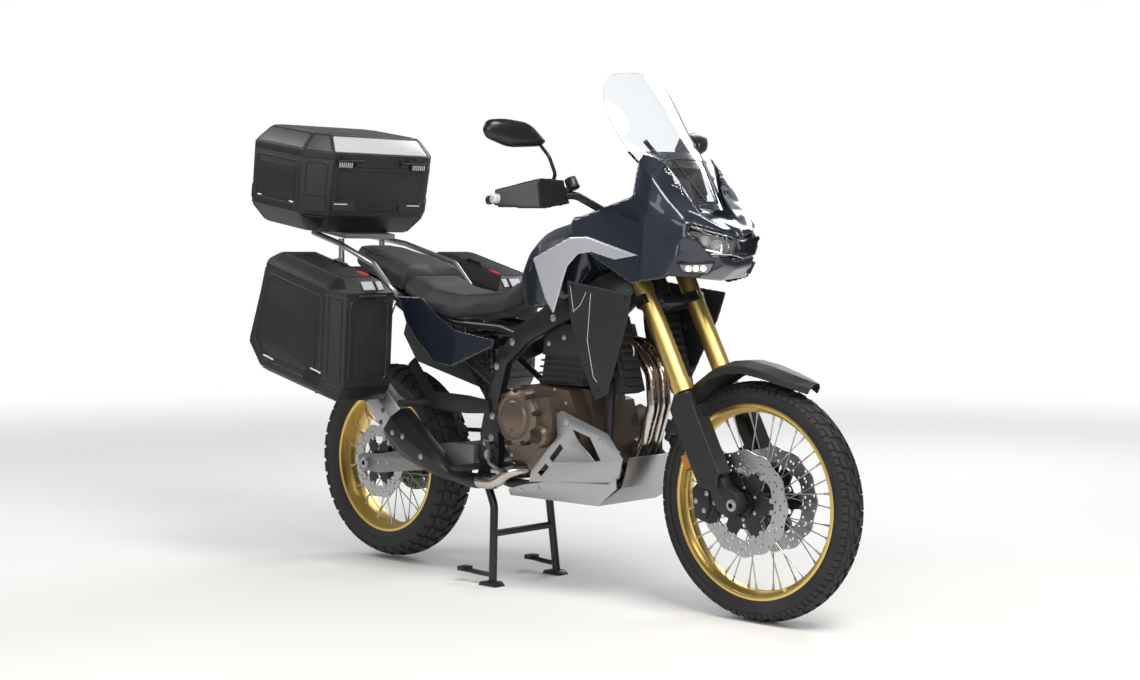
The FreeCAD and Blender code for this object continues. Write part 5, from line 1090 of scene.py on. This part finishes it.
def side_case(side, name):
    """Shell, panels, guards and marks of one side case: side is -1 for the right."""
    case = name + "_case"
    edged(case + "_body", case + "_shell", CASE_PLASTIC, "chassis", 4.5, 3)
    edged(case + "_lid", case + "_cover", CASE_PLASTIC, case + "_lid", 4.5, 3)
    rings = ((SIDE_IN_Y, SIDE_FULL), (SIDE_MID_Y, SIDE_FULL), (SIDE_OUT_Y, SIDE_OUTER))
    inner, full, outer = ([at(x, side * y, z) for x, z in outline] for y, outline in rings)
    inside = (full[0] + full[3]) / 2
    face, bevels, walls = Face(outer, (0, side, 0)), band(full, outer, inside), band(inner, full, inside)
    panels = [face.rib(16, 9, 2.6, 30), face.plate(45, 2.2, 30), bevels[1].rib(9, 6, 2, 8),
              walls[1].rib(16, 8, 2.4, 20), walls[1].plate(40, 2, 12), walls[5].rib(14, 7, 2.2, 10),
              walls[4].rib(12, 7, 2.2, 10)]
    fit(case + "_panels", panels + [bevels[i].rib(9, 5, 1.8, 6) for i in (3, 4, 5)], CASE_PLASTIC)
    guards = [bevels[i].plate(3, 4.5, 4) for i in (2, 4)] + [walls[i].plate(4, 4.5, 6) for i in (2, 4)]
    guards.append(face.pad(*face.near(outer[3], 55), 36, 20, 5, 10))
    fit(case + "_guards", guards, SMOOTH_PLASTIC)
    marks = [face.pad(*face.near(outer[i], inward), 26, 3, 4.2, 1) for i, inward in ((4, 50), (2, 45))]
    fit(case + "_marks", marks, WHITE)


def side_lid(side, name):
    """Plates, clips, corner caps, button and handle of one side case's lid."""
    (rear_x, rear_z), (front_x, front_z) = SIDE_FULL[:2]
    length = hypot(front_x - rear_x, front_z - rear_z)
    slope = atan2(rear_z - front_z, front_x - rear_x)

    def in_lid(x, y, h):
        c, s = cos(slope), sin(slope)
        return at(front_x + x * c + h * s, side * y, front_z - x * s + h * c)

    edge = [(-length, SIDE_IN_Y), (0, SIDE_IN_Y), (0, SIDE_MID_Y), (-SIDE_BEVEL, SIDE_OUT_Y),
            (SIDE_BEVEL - length, SIDE_OUT_Y), (-length, SIDE_MID_Y)]
    low = [in_lid(x, y, 10) for x, y in edge]
    high = [in_lid(x, y, SIDE_LID_H) for x, y in inset_points(edge, 44)]
    bevels = band(low, high, sum(low, Vector()) / 6)
    roof = Face(high, in_lid(0, 0, 100) - in_lid(0, 0, 0))
    front = bevels[1]
    sign = 1 if front.place(in_lid(0, SIDE_IN_Y, 10))[0] > 0 else -1
    button = roof.place(in_lid(-96, SIDE_IN_Y + 60, SIDE_LID_H))
    a, b = (roof.place(in_lid(-length * share, SIDE_IN_Y + 66, SIDE_LID_H)) for share in (0.42, 0.58))
    bow = [roof.point(*end, out) for end, out in ((a, 1), (a, 9), (b, 9), (b, 1))]
    for piece, parts, material in (
            ("caps", [bevels[i].plate(3, 3, 8) for i in (2, 4)], SMOOTH_PLASTIC),
            ("panels", [bevels[3].plate(8, 2, 8), bevels[5].plate(8, 2, 8), roof.rib(6, 6, 2.2),
                        roof.plate(22, 2.2, 12)], CASE_PLASTIC),
            ("clips", [front.pad(sign * 10, 1, 26, 17, 3.5, 3), front.pad(sign * 56, 1, 11, 17, 3.5, 2)],
             SILVER),
            ("strap", [front.pad(sign * 36, 1, 5, 18, 5, 2)], SMOOTH_PLASTIC),
            ("button", [roof.pad(*button, 22, 9, 5, 3)], RED_PART),
            ("handle", [tube(bow, 5, 8, 10)], SMOOTH_PLASTIC)):
        fit(f"{name}_lid_{piece}", parts, material, name + "_case_lid")


# Front end
# Windscreen rows: ahead, up, half width and sweep of its edges, in millimetres
SCREEN_ROWS = [(1425, 1184, 58, 18), (1393, 1236, 102, 44), (1331, 1333, 156, 80), (1259, 1423, 168, 82),
               (1188, 1522, 158, 64), (1138, 1582, 116, 34), (1125, 1599, 58, 10)]
# Lines on the shrouds: ahead, up, in millimetres
SHROUD_LINES = [[(1022, 962), (1030, 884), (1064, 906), (1092, 944)],
                [(1112, 940), (1086, 800), (1104, 692), (1120, 676)]]


def headlamps():
    """Two swept lamps behind one clear cover, with round projectors and bent light strips."""
    softened("headlamp", "headlamp_cover", LENS, "chassis", 2.6, 5)
    shells, bowls, strips, lights = [], [], [], []
    for s in (-1, 1):
        corners = ((1441, 152, 1128), (1520, 74, 1100), (1520, 54, 1058), (1441, 112, 1056))
        eye = Face([at(x, s * y, z) for x, y, z in corners], (0.4, s, 0.1))
        shells.append(eye.plate(2, 0.8, 12, 1))
        strips += [eye.pad(-4, -20, 36, 2.2, 3.2, 1, 0.05), eye.pad(34, -6, 2.2, 14, 3.2, 1, 0.2)]
        for u, v in ((-18, 4), (18, 2)):
            bowls.append(eye.dish(u, v, [(16.5, 0), (16.5, 3), (14.2, 3.2), (12.5, 1.2), (2, 0.8)]))
            lights.append(eye.dish(u, v, [(11.5, 1.1), (10.5, 3), (7, 4.2), (1, 4.6)]))
    fit("lamp_backs", shells, DARK_STEEL)
    fit("lamp_rings", bowls, ALLOY)
    fit("lamp_strips", strips, LAMP_WHITE)
    fit("lamp_projectors", lights, LENS)


def eased_rows(rows, times=2):
    """Rows of numbers with more between them, on the curve through their neighbours."""
    for _ in range(times):
        first = [2 * p - q for p, q in zip(rows[0], rows[1])]
        last = [2 * p - q for p, q in zip(rows[-1], rows[-2])]
        points = [first] + [list(r) for r in rows] + [last]
        out = []
        for a, b, c, d in zip(points, points[1:], points[2:], points[3:]):
            out += [b, [(9 * (q + r) - p - u) / 16 for p, q, r, u in zip(a, b, c, d)]]
        rows = out + [points[-2]]
    return rows


def screen_point(row, t, back=0.0):
    x, z, w, sweep = row
    return at(x - sweep * abs(t) ** 1.7 - back, t * w, z)


def windscreen():
    rows = eased_rows(SCREEN_ROWS)
    places = [k / 12 for k in range(-12, 13)]
    screen = joined("screen_sheet", [skin([[screen_point(row, t, 2) for t in places] for row in rows])])
    modified(screen, "SOLIDIFY", thickness=0.0026, offset=0.0)
    finished(screen, SCREEN, "chassis", ["windscreen"], 60)
    # Carrier behind the lower part of the screen: two arms and a bridge
    low_rows = [row for row in rows if 1196 < row[1] < 1372]
    section = ((0.97, 10), (0.97, 20), (0.80, 24), (0.80, 12))
    arms = [solid([[screen_point(row, s * t, back) for t, back in section] for row in low_rows])
            for s in (-1, 1)]
    bridge = ((low_rows[-3], 12), (low_rows[-3], 20), (low_rows[-1], 20), (low_rows[-1], 12))
    arms.append(solid([[screen_point(row, t / 10, back) for row, back in bridge] for t in range(-9, 10)]))
    fit("screen_carrier", arms, SMOOTH_PLASTIC)
    screws = [bolt(screen_point(row, s * 0.89), (0.8, s * 0.45, 0.45), 5.5, 4)
              for s in (-1, 1) for row in (low_rows[-2], low_rows[len(low_rows) // 2])]
    fit("screen_screws", screws, STEEL)
    lower, upper = ([screen_point(rows[i], t, -1) for t in (-w, 0, w)] for i, w in ((2, 0.35), (8, 0.42)))
    frame_lines = [(lower[0], upper[0]), (lower[2], upper[2]), lower, upper]
    fit("screen_vent_frame", [tube(line, 2.2, 0, 8) for line in frame_lines], BLACK_PLASTIC)


def lower_lamps():
    """Lower lamps in the chin, each with three small lenses."""
    tree = tree_of(bpy.data.objects["cowl_shell"])
    backs, bowls, bulbs = [], [], []
    for s in (-1, 1):
        corners = [cast_onto(tree, at(1700, s * y, z), (-1, 0, 0))[0]
                   for y, z in ((84, 1037), (156, 1034), (138, 1006), (84, 1001))]
        face = Face(corners, (1, s * 0.6, 0))
        hits = [cast_onto(tree, at(1700, s * y, z), (-1, 0, 0))
                for y in (92, 104, 116, 128, 140) for z in (1008, 1016, 1024, 1032)]
        rise = 1 + max([0] + [(hit[0] - face.origin).dot(face.normal) * 1000 for hit in hits if hit])
        backs.append(face.plate(0, rise, 6, 1))
        bowls.append(face.plate(5, rise + 1, 4, 0.5))
        bulb = [(8.5, rise), (8.5, rise + 3), (7, rise + 3.4), (4, rise + 2.2), (1, rise + 2)]
        bulbs += [face.dish(u, 0, bulb) for u in (-21, 0, 21)]
    fit("lower_lamps", backs, BLACK_PLASTIC)
    fit("lower_lamp_bowls", bowls, CAST_GREY)
    fit("lower_lamp_rings", bulbs, LAMP_WHITE)


def shroud_lines():
    tree = tree_of(bpy.data.objects["shroud_shells"])
    lines = []
    for s in (-1, 1):
        for route in SHROUD_LINES:
            starts = [at(x, s * 400, z) for x, z in legs(route, 9, 8)]
            lines.append(laid_line(tree, starts, (0, -s, 0), 0.9, 6))
    fit("shroud_lines", lines, WHITE)


# Engine
def bolts_on(name, piece, places, material=STEEL, body="chassis", r=5, h=4, square=False):
    """Bolts on a piece at (ahead, up) places from both sides, or from one side with a third value."""
    tree = tree_of(bpy.data.objects[piece])
    parts = []
    for x, z, *side in places:
        for s in side or (-1, 1):
            hit = cast_onto(tree, at(x, s * 600, z), (0, -s, 0))
            if hit:
                parts.append(bolt(hit[0], (0, s, 0) if square else hit[1], r, h))
    fit(name, parts, material, body)


def engine():
    edged("crankcase", "engine_case", ENGINE_BRONZE, "chassis", 4, 3, 25)
    edged("cylinder_head", "engine_top", ENGINE_DARK, "chassis", 3, 2, 25)
    clutch = at(800, -212, 553)
    cover = [(0, -12.5), (30, -12.5), (34, -11.5), (36, -10.5), (46, -11.5), (50, -10), (54, -5), (65.5, -3),
             (69, -4.5), (76, -1.5), (84.8, 6), (85.2, 20), (85.2, 60)]
    parts = [lathe(cover, clutch, 72)]
    parts += [bolt(clutch + polar(40, a, -11), (0, -1, 0), 4, 4) for a in angles(3, 0.4)]
    fit("clutch_cover", parts, ENGINE_BRONZE)
    rims = []
    for a in angles(9, 0.2):
        inner, outer = clutch + polar(83.5, a, 30), clutch + polar(83.5, a, -1)
        rims += [along_line(inner, outer, [(8.5, 0), (8.5, 0.85), (7.5, 1)]), bolt(outer, (0, -1, 0), 4.2, 4)]
    fit("clutch_cover_bolts", rims, ENGINE_DARK)
    right = [(712, 424), (716, 500), (724, 590), (760, 640), (900, 640), (948, 600), (985, 550),
             (1000, 470), (985, 400), (900, 395), (820, 393)]
    left = [(760, 400), (760, 580), (830, 630), (960, 600), (1005, 480), (985, 395), (880, 392)]
    places = [(x, z, -1) for x, z in right] + [(x, z, 1) for x, z in left]
    bolts_on("engine_bolts", "engine_case", places, r=4.2, h=5, square=True)
    pump = along_line(at(888, -202, 502), at(888, -210, 502), [(24, 0), (24, 0.7), (20, 1)], 28)
    fit("pump_cover", [pump], ENGINE_DARK)
    places = [(850, 780), (990, 780), (850, 826), (980, 822), (915, 800)]
    bolts_on("head_bolts", "engine_top", places, r=6, h=6, square=True)
    horn = at(1150, -80, 765)
    shell = [(0, -8), (12, -8), (14, -4), (26, -6), (30, -10), (34, -8), (35, 0), (24, 12), (10, 18),
             (0, 18)]
    fit("horn", [lathe(shell, horn, 40)], BLACK_METAL)
    fit("horn_ring", [lathe([(28.5, -8.5), (31, -11.5), (33.5, -9), (33.5, -7.5)], horn, 40)], STEEL)


# Bar, mirrors and dash
BAR_LINE = [(4, 215, 1386), (-94, 455, 1418)]
# Mirror heads: outline seen from behind, then rings as distance ahead and share of the outline
MIRROR_OUTLINE = [(295, 1386), (352, 1440), (440, 1450), (492, 1444), (506, 1416), (494, 1392), (420, 1366),
                  (318, 1372)]
MIRROR_RINGS = [(984, 0.90), (984, 0.955), (985.5, 0.985), (990, 1.0), (996, 0.985), (1003, 0.93),
                (1009, 0.82), (1013, 0.64), (1015, 0.4), (1015.6, 0.12)]
MIRROR_MIDDLE = (405, 1410)
STEM_ROUTE = [(1052, 292, 1290), (1046, 312, 1342), (1004, 318, 1388), (999, 345, 1402)]


def bar_place(side, share):
    ahead, y, up = (a + (b - a) * share for a, b in zip(*BAR_LINE))
    return on_fork(ahead, side * y, up)


def mirror_ring(outline, side, ahead, share):
    """Outline of a mirror head drawn in towards its middle, on the head's slanted plane."""
    ring = []
    for p in outline:
        y, z = (m + (c - m) * share for m, c in zip(MIRROR_MIDDLE, p))
        ring.append(at(ahead - 0.22 * (y - MIRROR_MIDDLE[0]), side * y, z))
    return ring


def mirrors():
    parts = []
    outline = rounded(MIRROR_OUTLINE, 26)
    for s in (-1, 1):
        parts.append(solid([mirror_ring(outline, s, ahead, share) for ahead, share in MIRROR_RINGS]))
        root = bar_place(s, 0.30) + STEER_UP * 0.020
        stem = [root] + [at(x, s * y, z) for x, y, z in STEM_ROUTE]
        parts.append(tube(stem, 5.5, 30, 16))
        parts.append(along_line(root, stem[1].lerp(root, 0.62), [(10.5, 0), (10.5, 0.6), (7.5, 1)], 20))
        parts.append(along_line(stem[-2].lerp(stem[-1], 0.3), stem[-1], [(6.8, 0), (8.5, 0.5), (8.5, 1)], 20))
    fit("mirror_shells", parts, SMOOTH_PLASTIC, "steering", ["mirrors"], 40)


def handlebar_fittings():
    rib = [(16, 0), (17.4, 0.25), (17.4, 0.75), (16, 1)]
    tip = [(10, 0), (14.5, 0.08), (15, 0.25), (12, 0.28), (12, 0.36), (15, 0.39), (15, 0.55), (12, 0.58),
           (12, 0.66), (15, 0.69), (14.5, 0.94), (12, 1)]
    ribs, tips, glass = [], [], []
    for s in (-1, 1):
        for share in [0.50 + 0.0186 * k for k in range(26)]:
            ribs.append(along_line(bar_place(s, share), bar_place(s, share + 0.008), rib, 24))
        tips.append(along_line(at(985, s * 460, 1217), at(979, s * 482, 1219), tip, 24))
        glass.append(Face(mirror_ring(MIRROR_OUTLINE, s, 982.5, 0.86), (-1, 0, 0)).plate(0, 1.6, 8, 1))
    fit("grip_ribs", ribs, RUBBER, "steering")
    fit("handguard_tips", tips, LID_SILVER, "steering")
    fit("mirror_glass", glass, MIRROR_GLASS, "steering")
    corners = [at(1290, -74, 1228), at(1290, 74, 1228), at(1256, 74, 1312), at(1256, -74, 1312)]
    face = Face(corners, (-1, 0, 0.4))
    fit("dash_display", [face.plate(0, 1.2, 8, 1)], DISPLAY_GLASS)
    fit("dash_surround", [face.rib(-6, 5, 4, 12)], BLACK_PLASTIC)


# Chain, in metres
CHAIN_PITCH = 0.015875
CHAIN_ACROSS = 0.088
PINS = 116
REAR_TEETH = 42
FRONT_TEETH = 16


def around(centre, r, angle):
    return centre + Vector((cos(angle), sin(angle))) * r


def chain_route():
    """Pin places in side view round both sprockets, from the top run forward."""
    rear, front = Vector((REAR_HUB.x, REAR_HUB.z)), at(672, 0, 432).xz
    big, small = (CHAIN_PITCH / (2 * sin(pi / teeth)) for teeth in (REAR_TEETH, FRONT_TEETH))
    d = front - rear
    run = sqrt(d.length ** 2 - (big - small) ** 2)
    lean = atan2(d.y, d.x)
    spread = pi / 2 - atan2(big - small, run)
    front_arc, rear_arc = small * 2 * spread, big * 2 * (pi - spread)
    points = []
    for k in range(PINS):
        s = (2 * run + front_arc + rear_arc) * k / PINS
        if s < run:
            a = lean + spread
            points.append(around(rear, big, a).lerp(around(front, small, a), s / run))
        elif s < run + front_arc:
            points.append(around(front, small, lean + spread - (s - run) / small))
        elif s < 2 * run + front_arc:
            a = lean - spread
            points.append(around(front, small, a).lerp(around(rear, big, a), (s - run - front_arc) / run))
        else:
            points.append(around(rear, big, lean - spread - (s - 2 * run - front_arc) / big))
    return points


def chain():
    pins = chain_route()
    plates, rollers = [], []
    for k, (p, q) in enumerate(zip(pins, pins[1:] + pins[:1])):
        lean = atan2(q.y - p.y, q.x - p.x)
        outline = [around(c, 0.0066, lean + turn * pi / 2 + pi * j / 4)
                   for c, turn in ((p, 1), (q, -1)) for j in range(5)]
        for s in (-1, 1):
            y = CHAIN_ACROSS + s * (0.0062 if k % 2 else 0.0036)
            plates.append(solid([[(c.x, y + side, c.y) for c in outline] for side in (-0.0009, 0.0009)]))
        for half, r, steps in ((0.0074, 2.6, 8), (0.0026, 4.8, 10)):
            rollers.append(bar((p.x, CHAIN_ACROSS - half, p.y), (p.x, CHAIN_ACROSS + half, p.y), r, steps))
    fit("chain_plates", plates, DARK_STEEL, "chassis", ["chain"])
    fit("chain_pins", rollers, STEEL)


# Running gear and tail
# Parts with bevelled edges: node, piece, finish, body, width of the bevel in millimetres
EDGED = [
    ("front_calipers", "front_calliper_bodies", CAST_BLACK, "steering", 3),
    ("rear_caliper", "rear_calliper_body", CAST_BLACK, "chassis", 3),
    ("fork_legs", "fork_leg_castings", CAST_BLACK, "steering", 3),
    ("triple_clamps", "fork_clamps", BLACK_METAL, "steering", 3),
    ("skid_plate", "skid_tray", ALLOY, "chassis", 1.6),
    ("swingarm", "swingarm_beam", CAST_GREY, "chassis", 4),
    ("main_frame", "frame_spars", FRAME_PAINT, "chassis", 2.2),
    ("silencer", "silencer_body", BLACK_METAL, "chassis", 4),
    ("silencer_end", "silencer_shield", ALLOY, "chassis", 3),
    ("foot_controls", "pedals", ALLOY, "chassis", 1.6),
    ("footrests", "footrest_castings", CAST_BLACK, "chassis", 1.6),
    ("hand_controls", "switch_housings", BLACK_METAL, "steering", 2.2),
    ("tail_section", "tail_shell", BLACK_PLASTIC, "chassis", 3),
    ("dash", "dash_case", SMOOTH_PLASTIC, "chassis", 3),
    ("centre_stand", "centre_stand_frame", BLACK_METAL, "centre_stand", 1.6),
    ("side_stand", "side_stand_leg", BLACK_METAL, "side_stand", 1.6),
]
# Bolts: name, piece under them, places ahead and up, and on one side only with a third value,
# finish, body, radius and height in millimetres
BOLTS = [
    ("skid_bolts", "skid_tray", [(985, 548), (760, 318), (1120, 500), (840, 330)], STEEL, "chassis", 7, 4),
    ("frame_bolts", "frame_spars", [(610, 540), (640, 700), (900, 860), (1030, 930), (604, 470), (720, 780)],
     STEEL, "chassis", 8, 5),
    ("swingarm_bolts", "swingarm_beam", [(60, 350), (-40, 343), (110, 352)], STEEL, "chassis", 5, 4),
    ("calliper_bolts", "front_calliper_bodies", [(1470, 320), (1480, 370), (1440, 345), (1500, 345)],
     STEEL, "steering", 5, 4),
    ("silencer_bolts", "silencer_body", [(300, 460, -1), (250, 470, -1), (380, 400, -1)],
     STEEL, "chassis", 6, 4),
    ("shield_bolts", "silencer_shield", [(200, 540, -1), (120, 610, -1), (190, 500, -1), (110, 570, -1)],
     DARK_STEEL, "chassis", 6, 3),
    ("shroud_screws", "shroud_shells", [(1030, 960), (1262, 930), (1120, 650)], BLACK_METAL, "chassis", 5, 3),
    ("cover_screws", "cover_shells", [(260, 900), (620, 775)], BLACK_METAL, "chassis", 5, 3),
]


def tail_lamps():
    edged("tail_lamps", "tail_lenses", RED_LENS, "chassis", 3, 3)
    lens = [(17.5, 0), (18.6, 0.1), (18.6, 0.9), (17.5, 1)]
    lenses = [along_line(at(-264, s * 166, 850), at(-224, s * 166, 850), lens, 28) for s in (-1, 1)]
    fit("indicator_lenses", lenses, AMBER_LENS)
    corners = [at(-335, -88, 694), at(-335, 88, 694), at(-330.5, 88, 566), at(-330.5, -88, 566)]
    fit("blank_plate", [Face(corners, (-1, 0, 0)).plate(0, 1.2, 8, 0.6)], WHITE)


def reflectors():
    """Amber reflectors behind the fork guards, each on a two-armed bracket."""
    backs, lenses = [], []
    for s in (-1, 1):
        centre = at(1432, s * 132, 462)
        corners = ((-0.021, -0.025), (0.021, -0.025), (0.021, 0.025), (-0.021, 0.025))
        face = Face([centre + STEER_AHEAD * a + STEER_UP * b for a, b in corners], (-0.1, s, 0))
        backs.append(face.plate(0, 4, 6, 1))
        lenses.append(face.plate(3, 9, 5, 1.2))
        for lift in (-0.014, 0.014):
            start = centre + STEER_UP * lift
            end = start + STEER_AHEAD * 0.062 - Vector((0, s * 0.010, 0))
            backs.append(bar(start + Vector((0, s * 0.002, 0)), end, 4.5))
    fit("reflector_brackets", backs, BLACK_PLASTIC, "steering")
    fit("reflectors", lenses, AMBER_LENS, "steering")


make_camera()
make_studio()
finish_nodes()
wheels()
for shell in SHELLS:
    softened(*shell)
seats()
top_case()
for side, name in SIDES:
    side_case(side, name)
headlamps()
windscreen()
lower_lamps()
shroud_lines()
engine()
for side, name in SIDES:
    side_lid(side, name)
mirrors()
handlebar_fittings()
chain()
for node, name, material, body, width in EDGED:
    edged(node, name, material, body, width, 2, 28)
for row in BOLTS:
    bolts_on(*row)
tail_lamps()
reflectors()

bpy.context.scene.view_settings.view_transform = "Standard"
